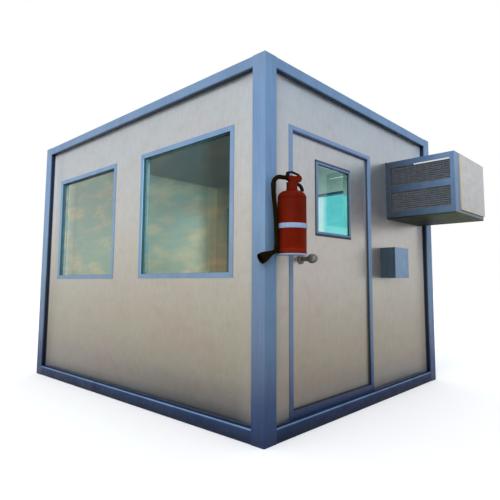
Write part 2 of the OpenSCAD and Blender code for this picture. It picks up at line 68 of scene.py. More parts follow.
# Radii of the screw heads
ROOF_SCREW, FRAME_SCREW, HINGE_SCREW = 0.0075, 0.0045, 0.0042
# A screw head's height, top and socket rim by its radius, and the socket's depth by the height
HEAD_RISE, HEAD_TAPER, SOCKET_RIM, SOCKET_DEPTH = 0.45, 0.72, 0.34, 0.6
# Faces above this share of the height are the head's top
TOP_SHARE = 0.9
SCREW_SIDES = 10
# Steps over the rounded edge of a bar
EDGE_STEPS = 2

WHITE = (1.0, 1.0, 1.0, 1.0)


def linear(code: str) -> tuple[float, float, float, float]:
    """Turns an sRGB hex colour to linear.

    Args:
        code: The colour as "#rrggbb".

    Returns:
        Linear red, green and blue, and an alpha of 1.
    """
    parts = [int(code[i:i + 2], 16) / 255 for i in (1, 3, 5)]
    # The sRGB curve: a short straight foot, then a power
    r, g, b = (c / 12.92 if c <= 0.04045 else ((c + 0.055) / 1.055) ** 2.4 for c in parts)
    return r, g, b, 1.0


def add(tree: bpy.types.NodeTree, kind: str, inputs: dict[Union[int, str], Value] | None = None,
        **settings: object) -> bpy.types.Node:
    """Adds a node with its settings, constants and links.

    Args:
        tree: The node tree that gets the node.
        kind: Blender's name of the node.
        inputs: What goes into each socket, a constant or another node's output.
        **settings: The node's own properties.

    Returns:
        The new node.
    """
    node = tree.nodes.new(kind)
    for name, value in settings.items():
        setattr(node, name, value)
    for key, value in (inputs or {}).items():
        if isinstance(value, bpy.types.NodeSocket):
            tree.links.new(value, node.inputs[key])
        else:
            node.inputs[key].default_value = value
    return node


def mix_colours(tree: bpy.types.NodeTree, share: Value, first: Value, second: Value,
                how: str = "MIX") -> bpy.types.NodeSocket:
    """Adds a mix of two colours.

    Args:
        tree: The node tree that gets the node.
        share: Share of the second colour, from 0 to 1.
        first: The colour at 0.
        second: The colour at 1.
        how: Blender's name of the way they mix.

    Returns:
        The socket with the mixed colour.
    """
    # The mix node's colour sockets are 6 and 7, and its colour comes out of 2
    node = add(tree, "ShaderNodeMix", {0: share, 6: first, 7: second}, data_type="RGBA", blend_type=how)
    return node.outputs[2]


class Buildable(Protocol):
    """A sub-assembly that puts itself into the scene."""

    def build(self) -> None:
        """Builds it."""


class Axis(Enum):
    """What a fade is measured along, in metres."""

    X = "x"
    Y = "y"
    Z = "z"
    FRAME_DEPTH = "in from the outer faces of posts and rails"
    WINDOW_DEPTH = "in from the face of the window frames"
    DOOR_DEPTH = "in from the face of the door frame"
    LEAF_DEPTH = "in from the face of the frame in the leaf"
    POST_GAP = "along a wall from the nearest post"
    FAR_GAP = "along the front and the door end from their far posts"


class Body(Enum):
    """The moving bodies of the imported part."""

    BOOTH = "booth"
    DOOR = "door"
    KNOB = "knob"


class Place:
    """Object coordinates of a material, split into what its layers read."""

    def __init__(self, tree: bpy.types.NodeTree) -> None:
        """Starts from the Object coordinates.

        Args:
            tree: The material's node tree.
        """
        self.tree = tree
        self.vector = add(tree, "ShaderNodeTexCoord").outputs["Object"]
        self.parts = add(tree, "ShaderNodeSeparateXYZ", {0: self.vector}).outputs

    def _math(self, operation: str, *values: Value) -> bpy.types.NodeSocket:
        """Adds one sum and returns its output."""
        return add(self.tree, "ShaderNodeMath", dict(enumerate(values)), operation=operation).outputs[0]

    def along(self, axis: Axis) -> bpy.types.NodeSocket:
        """Gives the coordinate that a fade reads.

        Args:
            axis: What is measured.

        Returns:
            The socket with that distance in metres.
        """
        if axis in (Axis.X, Axis.Y, Axis.Z):
            return self.parts["XYZ".index(axis.name)]
        if axis is Axis.FRAME_DEPTH:
            across = self._math("SUBTRACT", HALF_L, self._math("ABSOLUTE", self.parts[0]))
            deep = self._math("SUBTRACT", HALF_W, self._math("ABSOLUTE", self.parts[1]))
            return self._math("MINIMUM", across, deep)
        if axis is Axis.POST_GAP:
            across = self._math("SUBTRACT", IN_L, self._math("ABSOLUTE", self.parts[0]))
            deep = self._math("SUBTRACT", IN_W, self._math("ABSOLUTE", self.parts[1]))
            return self._math("MAXIMUM", across, deep)
        if axis is Axis.FAR_GAP:
            across = self._math("ADD", self.parts[0], IN_L)
            return self._math("MINIMUM", across, self._math("SUBTRACT", IN_W, self.parts[1]))
        if axis is Axis.WINDOW_DEPTH:
            return self._math("SUBTRACT", PANEL_Y + FRAME_PROUD, self._math("ABSOLUTE", self.parts[1]))
        face = PANEL_X + FRAME_PROUD if axis is Axis.DOOR_DEPTH else PANEL_X - LEAF_BACK + LEAF_FRAME
        return self._math("SUBTRACT", face, self.parts[0])


@dataclass(frozen=True)
class Fade:
    """A run of colours along one axis, such as paint that darkens towards the ground."""

    axis: Axis
    stops: tuple[tuple[float, str], ...]

    def colour(self, place: Place) -> bpy.types.NodeSocket:
        """Adds the fade to a material.

        Args:
            place: The material's coordinates.

        Returns:
            The socket with its colour.
        """
        low, high = self.stops[0][0], self.stops[-1][0]
        share = add(place.tree, "ShaderNodeMapRange", {0: place.along(self.axis), 1: low, 2: high})
        ramp = add(place.tree, "ShaderNodeValToRGB", {0: share.outputs[0]})
        points = ramp.color_ramp.elements
        while len(points) < len(self.stops):
            points.new(0.5)
        for point, (at, _) in zip(points, self.stops):
            point.position = (at - low) / (high - low)
        for point, (_, code) in zip(points, self.stops):
            point.color = linear(code)
        return ramp.outputs[0]


@dataclass(frozen=True)
class Grain:
    """Irregular marks of a real size in millimetres, the same all ways or along X, Y and Z."""

    size_mm: Size
    dark: str = "#000000"
    light: str = "#ffffff"
    low: float = 0.35
    high: float = 0.65
    detail: float = 3.0

    def amount(self, place: Place) -> bpy.types.NodeSocket:
        """Adds the marks as a value from 0 to 1.

        Args:
            place: The material's coordinates.

        Returns:
            The socket with that value.
        """
        sizes = self.size_mm if isinstance(self.size_mm, tuple) else (self.size_mm,) * 3
        scale = tuple(1000.0 / s for s in sizes)
        spot = add(place.tree, "ShaderNodeMapping", {"Vector": place.vector, "Scale": scale})
        noise = add(place.tree, "ShaderNodeTexNoise",
                    {"Vector": spot.outputs[0], "Scale": 1.0, "Detail": self.detail})
        share = add(place.tree, "ShaderNodeMapRange", {0: noise.outputs[0], 1: self.low, 2: self.high})
        return share.outputs[0]

    def colour(self, place: Place) -> bpy.types.NodeSocket:
        """Adds the marks as a colour.

        Args:
            place: The material's coordinates.

        Returns:
            The socket with its colour.
        """
        return mix_colours(place.tree, self.amount(place), linear(self.dark), linear(self.light))


@dataclass(frozen=True)
class Split:
    """Two sets of layers, parted at a depth, such as the outer and the inner face of a wall."""

    axis: Axis
    at: float
    near: "Layers"
    far: "Layers"
    soft: float = 0.004

    def colour(self, place: Place) -> bpy.types.NodeSocket:
        """Adds both sets to a material.

        Args:
            place: The material's coordinates.

        Returns:
            The socket with the colour of the set that is due there.
        """
        share = add(place.tree, "ShaderNodeMapRange",
                    {0: place.along(self.axis), 1: self.at - self.soft, 2: self.at + self.soft})
        return mix_colours(place.tree, share.outputs[0], blend(self.near, place), blend(self.far, place))


Layers = tuple[Union[Fade, Grain, Split], ...]


def blend(layers: Layers, place: Place) -> bpy.types.NodeSocket:
    """Multiplies layers of colour.

    Args:
        layers: The layers, from the ground up.
        place: The material's coordinates.

    Returns:
        The socket with the colour of them all.
    """
    result = layers[0].colour(place)
    for layer in layers[1:]:
        result = mix_colours(place.tree, 1.0, result, layer.colour(place), "MULTIPLY")
    return result


@dataclass(frozen=True)
class Coating:
    """What a piece is dressed in: a name and layers of colour that multiply."""

    name: str
    layers: Layers

    def material(self) -> bpy.types.Material:
        """Makes the material, or finds it if it is there.

        Returns:
            The material.
        """
        found = bpy.data.materials.get(self.name)
        if found is not None:
            return found
        made = bpy.data.materials.new(self.name)
        made.use_nodes = True
        place = Place(made.node_tree)
        shader = made.node_tree.nodes["Principled BSDF"]
        made.node_tree.links.new(blend(self.layers, place), shader.inputs["Base Color"])
        self.wire(place, shader)
        return made

    def wire(self, place: Place, shader: bpy.types.Node) -> None:
        """Sets what a kind of coating has beside its colour.

        Args:
            place: The material's coordinates.
            shader: The material's main node.
        """
        raise NotImplementedError


@dataclass(frozen=True)
class Finish(Coating):
    """An opaque finish with a range of roughness, and a fine relief by its size and depth in mm."""

    shine: tuple[float, float] = (0.45, 0.55)
    shine_mm: Size = 60
    metallic: float = 0.0
    metal_by: Fade | None = None
    specular: float = 0.5
    relief: tuple[Size, float] = (3, 0.03)

    def wire(self, place: Place, shader: bpy.types.Node) -> None:
        """Sets roughness, metal and relief.

        Args:
            place: The material's coordinates.
            shader: The material's main node.
        """
        tree = place.tree
        gloss = Grain(self.shine_mm, detail=2.0).amount(place)
        rough = add(tree, "ShaderNodeMapRange", {0: gloss, 3: self.shine[0], 4: self.shine[1]})
        tree.links.new(rough.outputs[0], shader.inputs["Roughness"])
        if self.metal_by is None:
            shader.inputs["Metallic"].default_value = self.metallic
        else:
            tree.links.new(self.metal_by.colour(place), shader.inputs["Metallic"])
        shader.inputs["Specular IOR Level"].default_value = self.specular
        size, depth_mm = self.relief
        bump = add(tree, "ShaderNodeBump", {"Height": Grain(size).amount(place), "Strength": 1.0,
                                            "Distance": depth_mm / 1000.0})
        tree.links.new(bump.outputs[0], shader.inputs["Normal"])


@dataclass(frozen=True)
class Glazing(Coating):
    """Tinted glass: its layers colour the light that passes, and its shadows are clear in its tint."""

    tint: str = "#c3e9e8"
    mirror: str = "#b4dcdc"
    specular: float = 0.28
    roughness: float = 0.03
    index: float = 1.5

    def wire(self, place: Place, shader: bpy.types.Node) -> None:
        """Sets the glass and its clear shadow.

        Args:
            place: The material's coordinates.
            shader: The material's main node.
        """
        tree = place.tree
        settings = {"Roughness": self.roughness, "IOR": self.index, "Transmission Weight": 1.0,
                    "Specular IOR Level": self.specular, "Specular Tint": linear(self.mirror)}
        for name, value in settings.items():
            shader.inputs[name].default_value = value
        rays = add(tree, "ShaderNodeLightPath")
        passing = add(tree, "ShaderNodeBsdfTransparent", {0: linear(self.tint)})
        mix = add(tree, "ShaderNodeMixShader", {0: rays.outputs["Is Shadow Ray"], 1: shader.outputs[0],
                                                2: passing.outputs[0]})
        tree.links.new(mix.outputs[0], tree.nodes["Material Output"].inputs["Surface"])


def frame_enamel(name: str, *layers: Union[Fade, Split]) -> Finish:
    """Gives the blue enamel of a folded frame.

    Args:
        name: The material's name.
        *layers: The fades of that frame, under the grain that all frames share.

    Returns:
        The finish.
    """
    return Finish(name, (*layers, Grain((120, 120, 200), "#f0f2f6")), shine=(0.36, 0.5), specular=0.25,
                  relief=((5, 5, 7), 0.04))


# Painted shade on all that stands outside: cool above the eye, warmer and darker below, darkest at the
# ground
BLUE_BY_HEIGHT = Fade(Axis.Z, (
    (0.03, "#1f2d4c"), (0.12, "#2b3e60"), (0.25, "#3a4a69"), (0.42, "#53637c"), (0.65, "#64778f"),
    (0.95, "#6f869f"), (1.25, "#7993ac"), (1.55, "#7e9ab8"), (2.00, "#7d9abd"), (2.40, "#7996b8"),
    (2.60, "#7995b3")))
# The panel runs: the same painted shade low down, and painted light at the top against the shade under the
# top rails
PANEL_BY_HEIGHT = Fade(Axis.Z, (
    (0.09, "#636a73"), (0.125, "#747374"), (0.2, "#948c86"), (0.3, "#9e948c"), (0.45, "#aba194"),
    (0.65, "#b9afa0"), (0.85, "#c3bbad"), (1.1, "#d1cbc1"), (1.35, "#d9d6ce"), (1.7, "#e0dfdf"),
    (2.05, "#dee2e7"), (2.47, "#dae0ea"), (2.52, "#f6f8fc")))
# The door end, a little darker and bluer above, as painted shade of that side; it has the same painted
# light at the top
END_BY_HEIGHT = Fade(Axis.Z, (
    (0.09, "#636a73"), (0.125, "#747374"), (0.2, "#948c86"), (0.3, "#9d9289"), (0.45, "#a59d8f"),
    (0.65, "#b0a89c"), (0.85, "#bdb6ad"), (1.1, "#cfc8c5"), (1.35, "#d7d3d1"), (1.7, "#d9d8dd"),
    (2.05, "#d0d8e3"), (2.47, "#c7d3e5"), (2.52, "#e4ecf8")))
# Painted light beside the far posts: the sheet is paler there, against the shade that the posts cast on it
FAR_POST_LIGHT = Fade(Axis.FAR_GAP, (
    (-0.08, "#dcdcdc"), (-0.002, "#dcdcdc"), (0.0, "#ffffff"), (0.06, "#f6f6f6"), (0.16, "#dcdcdc")))
# Painted shade low on the long walls, heavier towards the door end
LOW_SHADE = Split(Axis.Z, 0.24, (
    Fade(Axis.X, ((-0.80, "#ffffff"), (0.20, "#ebedf0"), (0.90, "#c8cdd6"), (1.60, "#d0d4da"),
                  (1.66, "#f2f3f4"))),), (
    Fade(Axis.X, ((-0.80, "#ffffff"), (0.0, "#ffffff"))),), 0.14)
# The room side of the walls: a pale lining, in shade under the ceiling
ROOM_BY_HEIGHT = Fade(Axis.Z, (
    (0.14, "#9a9d94"), (1.00, "#c4ccc4"), (1.90, "#c6d0c8"), (2.15, "#b0beb5"), (2.35, "#9aaaa1"),
    (2.52, "#81918a")))
# The room side of the left wall: darker towards the floor, and painted shade under the ceiling
LEFT_BY_HEIGHT = Fade(Axis.Z, (
    (0.14, "#b4b2ae"), (1.00, "#dedbd6"), (1.90, "#deddd8"), (2.15, "#dadeda"), (2.32, "#dcebe4"),
    (2.45, "#c2d3cc"), (2.52, "#9fb2aa")))
# Painted shade in the corners of the far end
LEFT_CORNER_SHADE = Fade(Axis.Y, (
    (-1.225, "#c4c6c2"), (-1.07, "#c6c8c4"), (-1.02, "#f0f0ee"), (-0.98, "#ffffff"), (1.02, "#ffffff"),
    (1.12, "#bcbcba"), (1.225, "#b4b4b0")))
# Share of bare flake: the margin beside the posts was masked and sealed, so little mirrors there
SEALED_MARGIN = Fade(Axis.POST_GAP, ((0.0, "#1c1c1c"), (0.06, "#404040"), (0.20, "#ebebeb")))
# Painted shade on the outer faces of the posts at the door end: a little darker and bluer
DOOR_END_SHADE = Fade(Axis.X, ((1.772, "#ffffff"), (1.7748, "#eaf8ff"), (1.776, "#eaf8ff")))
# Painted shade in the recess of the frame, darkest against the panels; on the tops of the rails a little
# darker inwards
RECESS_SHADE = Split(Axis.Z, 2.585, (
    Fade(Axis.FRAME_DEPTH, ((0.0, "#ffffff"), (0.006, "#ffffff"), (0.014, "#5e636b"), (0.03, "#41464f"),
                            (0.05, "#383d46"))),), (
    Fade(Axis.FRAME_DEPTH, ((0.0, "#ffffff"), (0.12, "#e6e8ec"))),))
# The rims of the louvre panels are sprayed over with the case, in painted shade towards the wall
LOUVRE_RIM = Fade(Axis.X, ((1.74, "#33393f"), (2.36, "#59646f")))


class Finishes(Enum):
    """Every finish of the booth, named for its material; the comments say where light or shade is painted
    into it.

    The grain of enamel, rubber and plastic is finer than shows at this size, so it is drawn coarser,
    at a few millimetres.
    """

    # Air-dried alkyd enamel on hot-rolled steel: soft gloss, faint runs, darker towards the ground in
    # painted shade
    FRAME = Finish("alkyd_enamel_blue", (
        BLUE_BY_HEIGHT, RECESS_SHADE, DOOR_END_SHADE,
        Grain((260, 260, 420), "#eef0f4"),
        Grain((14, 14, 300), "#f1f3f7")),
        shine=(0.38, 0.52), specular=0.2, relief=((5, 5, 7), 0.05))
    # The same enamel on the base rails, dulled, in painted shade from the ground and on the face at the
    # door end;
    # a painted highlight runs along the rounded top edge, with painted shade on the ledge behind it
    BASE = Finish("alkyd_enamel_navy", (
        Fade(Axis.Z, ((0.0, "#1f2439"), (0.03, "#232d43"), (0.07, "#293856"), (0.086, "#32466a"),
                      (0.0905, "#7692b4"), (0.16, "#7692b4"))),
        Fade(Axis.X, ((1.770, "#ffffff"), (1.7745, "#d6dae2"), (1.776, "#d6dae2"))),
        Fade(Axis.FRAME_DEPTH, ((0.0, "#ffffff"), (0.005, "#ffffff"), (0.010, "#7d8594"),
                                (0.018, "#4f5766"), (0.05, "#454c5a"))),
        Grain((180, 180, 60), "#d9dce2"),
        Grain((9, 9, 30), "#eceef2")),
        shine=(0.45, 0.62), specular=0.1, relief=(4, 0.06))
    # Folded steel window frames in the same blue, with painted light and shade in their reveals and behind
    # the glass
    TRIM = frame_enamel(
        "alkyd_enamel_blue_frames",
        Split(Axis.WINDOW_DEPTH, 0.004, (BLUE_BY_HEIGHT,), (
            Split(Axis.WINDOW_DEPTH, 0.037, (
                BLUE_BY_HEIGHT,
                Fade(Axis.WINDOW_DEPTH, ((0.004, "#a8a5a4"), (0.034, "#8c898a"))),
                Fade(Axis.X, ((-1.4108, "#c8ccd0"), (-1.4000, "#a19598"), (1.42, "#a19598")))), (
                Fade(Axis.X, ((-1.4108, "#8f979c"), (-1.4000, "#56656f"), (1.42, "#56656f"))),
                Fade(Axis.Z, ((1.10, "#ffffff"), (2.09, "#ffffff"), (2.13, "#8fa6ad"), (2.18, "#8fa6ad"))),
                Fade(Axis.WINDOW_DEPTH, ((0.04, "#d8dcde"), (0.06, "#ffffff"), (0.070, "#ffffff"),
                                         (0.0725, "#7f8f98")))),
                0.002),), 0.002))
    # The door frame, in painted shade on its stop and reveal, and towards the threshold
    DOOR_TRIM = frame_enamel(
        "alkyd_enamel_blue_door_frame", BLUE_BY_HEIGHT,
        Fade(Axis.DOOR_DEPTH, ((0.0, "#f2f5fb"), (0.003, "#f2f5fb"), (0.010, "#6d7789"), (0.07, "#6a7485"),
                               (0.079, "#f4f4f4"))),
        Fade(Axis.Z, ((0.09, "#c3c7d0"), (0.149, "#cdd1d9"), (0.17, "#ffffff"), (0.20, "#ffffff"))))
    # The head of the door frame, with painted shade on its soffit and along the lower edge of its face
    HEAD_TRIM = frame_enamel(
        "alkyd_enamel_blue_door_head", BLUE_BY_HEIGHT,
        Fade(Axis.Z, ((2.130, "#8a93a6"), (2.1384, "#8a93a6"), (2.1396, "#5a647a"), (2.146, "#606a80"),
                      (2.152, "#f2f5fb"), (2.180, "#f2f5fb"))))
    # The frame in the leaf: blue outside and grey on the hinge-side stile, with painted shade on its sides
    # and along its top and bottom; the liner behind the glass is painted light, sea green below, and
    # painted shade, grey, above
    LEAF_TRIM = frame_enamel(
        "alkyd_enamel_blue_leaf_frame",
        Split(Axis.LEAF_DEPTH, 0.016, (
            Split(Axis.Y, -0.214, (BLUE_BY_HEIGHT,), (Grain((60, 60, 90), "#a8b0b6", "#b4bcc2"),), 0.002),
            Fade(Axis.LEAF_DEPTH, ((0.0, "#ccd6e2"), (0.002, "#ccd6e2"), (0.007, "#566378"),
                                   (0.02, "#566378"))),
            Fade(Axis.Z, ((1.398, "#636d79"), (1.409, "#727c88"), (1.413, "#ffffff"), (1.970, "#ffffff"),
                          (1.979, "#8b95a3"))),
            Fade(Axis.Y, ((-0.228, "#ffffff"), (-0.224, "#cadacd"), (-0.204, "#d0dccf")))), (
            Fade(Axis.Z, ((1.42, "#b4f4f6"), (1.765, "#b8f8f8"), (1.79, "#c4c0b4"), (1.96, "#b8b2a8"))),),
            0.001))
    # Polyester-coated steel sheet: metallic flake under a satin coat, rolled in fine upright lines
    PANEL = Finish("coated_steel_sheet", (
        Split(Axis.FRAME_DEPTH, 0.10, (
            Split(Axis.X, 1.68, (PANEL_BY_HEIGHT,), (END_BY_HEIGHT,)),
            FAR_POST_LIGHT, LOW_SHADE,
            Grain((800, 800, 380), "#fdf8f5", "#fafdf7"),
            Grain((26, 26, 80), "#f8f8f7"),
            Grain((190, 190, 90), "#ffffff", "#faf8f5", low=0.48, high=0.72, detail=6.0),
            Grain((14, 14, 20), "#ffffff", "#d2cec8", low=0.70, high=0.78, detail=2.0)), (
            Split(Axis.X, -1.64, (LEFT_BY_HEIGHT, LEFT_CORNER_SHADE), (ROOM_BY_HEIGHT,)),
            Grain(300, "#f6f6f4"))),),
        shine=(0.30, 0.35), shine_mm=(200, 200, 500), metal_by=SEALED_MARGIN,
        relief=((25, 25, 60), 0.004))
    # Trapezoid roof sheet, zinc grey and matt, with dust in the pans
    ROOF = Finish("galvanised_roof_sheet", (
        Fade(Axis.Z, ((2.55, "#9b9d9c"), (2.579, "#a5a7a6"), (2.596, "#b9bbbb"))),
        Grain((160, 300, 160), "#dfe0e0"),
        Grain(24, "#eeeeee")),
        shine=(0.42, 0.6), metallic=0.4, relief=(30, 0.2))
    # Painted board, a dull, very dark teal: painted shade of the ceiling in the room
    CEILING = Finish("painted_ceiling_board", (
        Grain(300, "#0d2029", "#122a35"), Grain(6, "#f0f0f0")),
        shine=(0.6, 0.75), specular=0.3, relief=(5, 0.1))
    # Sheet vinyl, stone grey with a fine chip pattern
    FLOOR = Finish("sheet_vinyl", (
        Grain(900, "#74736c", "#7f7e77"),
        Grain(7, "#c9c7c0", low=0.42, high=0.58)),
        shine=(0.4, 0.55), specular=0.4, relief=(7, 0.15))
    # Zinc-plated steel hinges, satin with drawn lines
    HINGE = Finish("zinc_plated_steel", (
        Grain((40, 40, 8), "#8b8d90", "#a2a4a8"), Grain((3, 3, 60), "#e4e4e4")),
        shine=(0.3, 0.42), metallic=0.9, relief=((3, 3, 60), 0.03))
    # Cast knob with satin nickel plate, brown-grey and smudged by hands
    KNOB = Finish("satin_nickel", (
        Grain(18, "#6d6864", "#7f7a76"), Grain((3, 60, 3), "#e9e7e4")),
        shine=(0.45, 0.6), shine_mm=15, metallic=0.6, relief=((2, 30, 2), 0.02))
    # Baked enamel of the air conditioner: the booth's blue, in painted shade towards the wall and lower
    # down, with a painted highlight on its end face
    CASE = Finish("baked_enamel_case", (
        Fade(Axis.Z, ((1.62, "#667f99"), (1.80, "#708bab"), (2.05, "#7e9cbd"), (2.18, "#809fc4"))),
        Fade(Axis.X, ((1.66, "#505457"), (1.80, "#676b6e"), (2.05, "#a0a7ab"), (2.30, "#d2d6da"),
                      (2.379, "#d6dade"), (2.3808, "#ffffff"), (2.385, "#ffffff"))),
        Grain((90, 90, 140), "#eef0f4"), Grain((12, 12, 60), "#f2f4f8")),
        shine=(0.35, 0.5), specular=0.3, relief=(4, 0.05))
    # Pressed steel louvres, grey paint with faint mottling, in painted shade towards the wall
    LOUVRE = Finish("pressed_steel_louvres", (
        Split(Axis.Y, 0.4256, (LOUVRE_RIM,), (
            Split(Axis.Y, 1.1644, (
                Fade(Axis.X, ((1.74, "#5a5d62"), (2.36, "#757a83"))),), (LOUVRE_RIM,), 0.0002),), 0.0002),
        Grain((60, 60, 20), "#e2e2e2")),
        shine=(0.4, 0.6), specular=0.35, relief=(4, 0.04))
    # Aluminium fins behind the louvres, grey with dust and in the shade of the blades
    FINS = Finish("aluminium_fins", (
        Grain((2, 2, 200), "#a6abb2", "#c0c6ce"), Grain(50, "#d8d8d8")),
        shine=(0.5, 0.7), metallic=0.3, relief=((2, 2, 200), 0.3))
    # Pale powder coat of the end plate, with the press lines of its stiffeners drawn as faint lines of
    # painted shade
    PLATE = Finish("powder_coat_pale", (
        Fade(Axis.Y, ((0.53, "#c4c4c1"), (0.70, "#c3c3c3"), (0.702, "#bbbcbc"), (0.706, "#c3c3c3"),
                      (0.92, "#c1c2c3"), (0.922, "#b8b9b9"), (0.926, "#c1c2c3"), (1.17, "#c0c1c2"))),
        Fade(Axis.Z, ((1.68, "#eceae5"), (1.90, "#f8f8f8"), (1.902, "#eeeeee"), (1.906, "#f8f8f8"),
                      (2.17, "#ffffff"))),
        Grain((140, 140, 60), "#f3f3f1"), Grain(8, "#f8f8f8")),
        shine=(0.4, 0.55), specular=0.4, relief=(3, 0.05))
    # Cream edging of the plate
    EDGING = Finish("pvc_edging_cream", (
        Grain(60, "#bfae8d", "#cdbf9f"), Grain(6, "#f4f2ec")),
        shine=(0.4, 0.5), specular=0.4)
    # Paint on the drip pan, matt: its olive is a painted reflection of the ground, and it is darker towards
    # the wall in painted shade
    PAN = Finish("olive_pan_paint", (
        Fade(Axis.X, ((1.72, "#232726"), (1.98, "#2c3126"), (2.15, "#3f482e"), (2.39, "#4b562f"))),
        Grain(120, "#e6e8e0")),
        shine=(0.5, 0.6), specular=0.03, relief=(30, 0.02))
    # Moulded ABS of the indoor front, off-white
    ABS = Finish("moulded_abs", (
        Grain(200, "#d2d2cb", "#dadad4"), Grain(2, "#f6f6f6")),
        shine=(0.45, 0.55), specular=0.4, relief=(1.5, 0.03))
    # Box body: blue-grey enamel, dull, in painted shade on its sides and towards the wall
    BOX = Finish("stove_enamel_slate", (
        Fade(Axis.X, ((1.725, "#2a3a44"), (1.87, "#32444f"))),
        Grain((60, 60, 90), "#e8eaee")),
        shine=(0.4, 0.55), specular=0.25, relief=(3, 0.04))
    # Box cover: the same enamel, blue on its face, in painted shade on its sides and lower down
    COVER = Finish("stove_enamel_cover", (
        Fade(Axis.X, ((1.858, "#31434e"), (1.8735, "#384c58"), (1.8745, "#7795b0"), (1.876, "#7795b0"))),
        Fade(Axis.Z, ((1.07, "#ececee"), (1.35, "#ffffff"))),
        Grain((60, 60, 90), "#eef0f4")),
        shine=(0.4, 0.5), specular=0.3, relief=(3, 0.04))
    # Pale blue enamel on the bracket and strap
    BRACKET = Finish("enamel_pale_blue", (
        Fade(Axis.Z, ((1.19, "#7b8ca4"), (1.222, "#8a9cb6"), (1.38, "#8094b0"), (1.43, "#8fa3c0"))),
        Grain(40, "#eceff4")),
        shine=(0.35, 0.5), specular=0.4)
    # Deep red stove enamel of the cylinder, dark and even
    RED = Finish("stove_enamel_red", (
        Fade(Axis.Z, ((1.21, "#721d08"), (1.40, "#6d1a06"), (1.52, "#611603"), (1.78, "#661905"))),
        Grain((70, 70, 120), "#e6dcd8"), Grain(5, "#f2ecea")),
        shine=(0.42, 0.5), specular=0.03, relief=(4, 0.02))
    # Black-brown paint on the levers
    LEVER = Finish("lever_paint_black", (
        Grain(20, "#130f07", "#1c170d"), Grain(3, "#e0e0e0")),
        shine=(0.4, 0.55), specular=0.04, relief=(2, 0.03))
    # EPDM rubber of the hose, brown-black; the mark of its cloth wrap is drawn coarser than it is
    HOSE = Finish("epdm_hose", (
        Grain((30, 30, 60), "#161002", "#1e1604"), Grain((3, 3, 2), "#d0ccc6")),
        shine=(0.5, 0.65), specular=0.01, relief=((3, 3, 2), 0.12))
    # Glass-filled nylon of the horn, brown-black
    HORN = Finish("nylon_horn", (
        Grain(25, "#130d02", "#1a1204"), Grain(3, "#dcd8d2")),
        shine=(0.42, 0.58), specular=0.012, relief=(2, 0.04))
    # Linseed putty round the panes, brushed over in blue
    PUTTY = Finish("painted_glazing_putty", (
        Grain(60, "#495b68", "#566977"), Grain(10, "#e8eaec")),
        shine=(0.5, 0.65), specular=0.25, relief=(8, 0.2))
    # Extruded EPDM of gaskets and seals, black and dull
    GASKET = Finish("epdm_gasket", (
        Grain(40, "#1b1f24", "#262b31"), Grain(4, "#e6e6e6")),
        shine=(0.55, 0.7), specular=0.25, relief=(3, 0.05))
    # A bead round the frame in the leaf: dark as painted shade of a gap, and pale on the hinge side as a
    # painted highlight
    BEAD = Finish("acrylic_sealant", (
        Split(Axis.Y, -0.2001, (Grain(40, "#1b1f24", "#262b31"),), (
            Grain(40, "#b4b8bd", "#c3c7cc"),), 0.0001),
        Grain(4, "#e6e6e6")),
        shine=(0.5, 0.65), specular=0.25, relief=(3, 0.05))
    # Polyurethane sealant, tooled by hand, navy as painted shade in the recess of the frame;
    # under the top rails it is lighter, to offset the shade that falls there
    SEALANT = Finish("polyurethane_sealant", (
        Split(Axis.Z, 2.505, (Grain(90, "#20283a", "#2c374d"),), (
            Grain(90, "#3c4450", "#4a525e"),)),
        Grain(12, "#dfe2e8")),
        shine=(0.45, 0.65), specular=0.3, relief=(14, 0.5))
    # Grey PVC of the cable trunking
    TRUNKING = Finish("pvc_trunking", (
        Grain(200, "#848c83", "#90988e"), Grain(3, "#f6f6f6")),
        shine=(0.4, 0.5), specular=0.4, relief=(3, 0.02))


# Solar-control float glass, green-blue; its tint carries painted shade of the room's corner in browns
# towards the corner post
WINDOW_GLASS = Glazing("tinted_float_glass", tint="#cbeddf", layers=(
    Split(Axis.Z, 1.38, (
        Fade(Axis.X, ((-1.40, "#fffdf0"), (-0.27, "#f8f8ec"), (0.25, "#dde3d4"), (0.98, "#dcdfce"),
                      (1.07, "#cfc8ae"), (1.15, "#bca081"), (1.24, "#bb9673"), (1.31, "#dcb797"),
                      (1.40, "#dcb797"))),), (
        Fade(Axis.X, ((-1.40, "#fffaf2"), (-0.27, "#fbf8ee"), (0.25, "#e0ece6"), (0.98, "#dae6de"),
                      (1.07, "#b9c0ac"), (1.15, "#9d947c"), (1.24, "#98876a"), (1.31, "#a39077"),
                      (1.40, "#a39077"))),), 0.22),
    # Painted reflections of clouds, teal and peach
    Grain((330, 330, 110), "#cfe4e2", "#fff2df", low=0.46, high=0.66, detail=5.0),
    Grain((160, 160, 50), "#eff5f4", "#fff8ee", low=0.45, high=0.65, detail=4.0)))
# The back panes are the same glass with the full turquoise, paler at one end
BACK_GLASS = Glazing("turquoise_float_glass", tint="#a6e2e0", layers=(
    Fade(Axis.X, ((0.27, "#eaf3f5"), (0.37, "#e2f1f3"), (0.42, "#79dbe0"), (0.68, "#79dbe0"),
                  (0.74, "#a4e9ec"))),
    # A little paler towards the bottom, as painted light of the sky seen through the pane
    Fade(Axis.Z, ((1.10, "#ffffff"), (1.62, "#ffffff"), (1.75, "#fafcfc"), (2.14, "#f4f8f8"))),
    Grain((420, 420, 150), "#f0fafa", low=0.42, high=0.62)))
# Thinner tinted glass in the leaf, clean and turquoise
LEAF_GLASS = Glazing("tinted_leaf_glass", tint="#c3e9e8", layers=(
    Grain((260, 260, 160), "#d2f7f4", "#dafaf6", low=0.40, high=0.62),
    Grain(40, "#fbfdfd")))


def new_object(name: str, data: bpy.types.ID) -> bpy.types.Object:
    """Makes an object and links it to the scene.

    Args:
        name: The object's name.
        data: Its mesh, curve, lamp or camera.

    Returns:
        The object.
    """
    made = bpy.data.objects.new(name, data)
    bpy.context.scene.collection.objects.link(made)
    return made


def facing(way: Vector) -> Matrix:
    """Gives the turn that points the Z axis along a line."""
    return way.to_track_quat("Z", "Y").to_matrix().to_4x4()


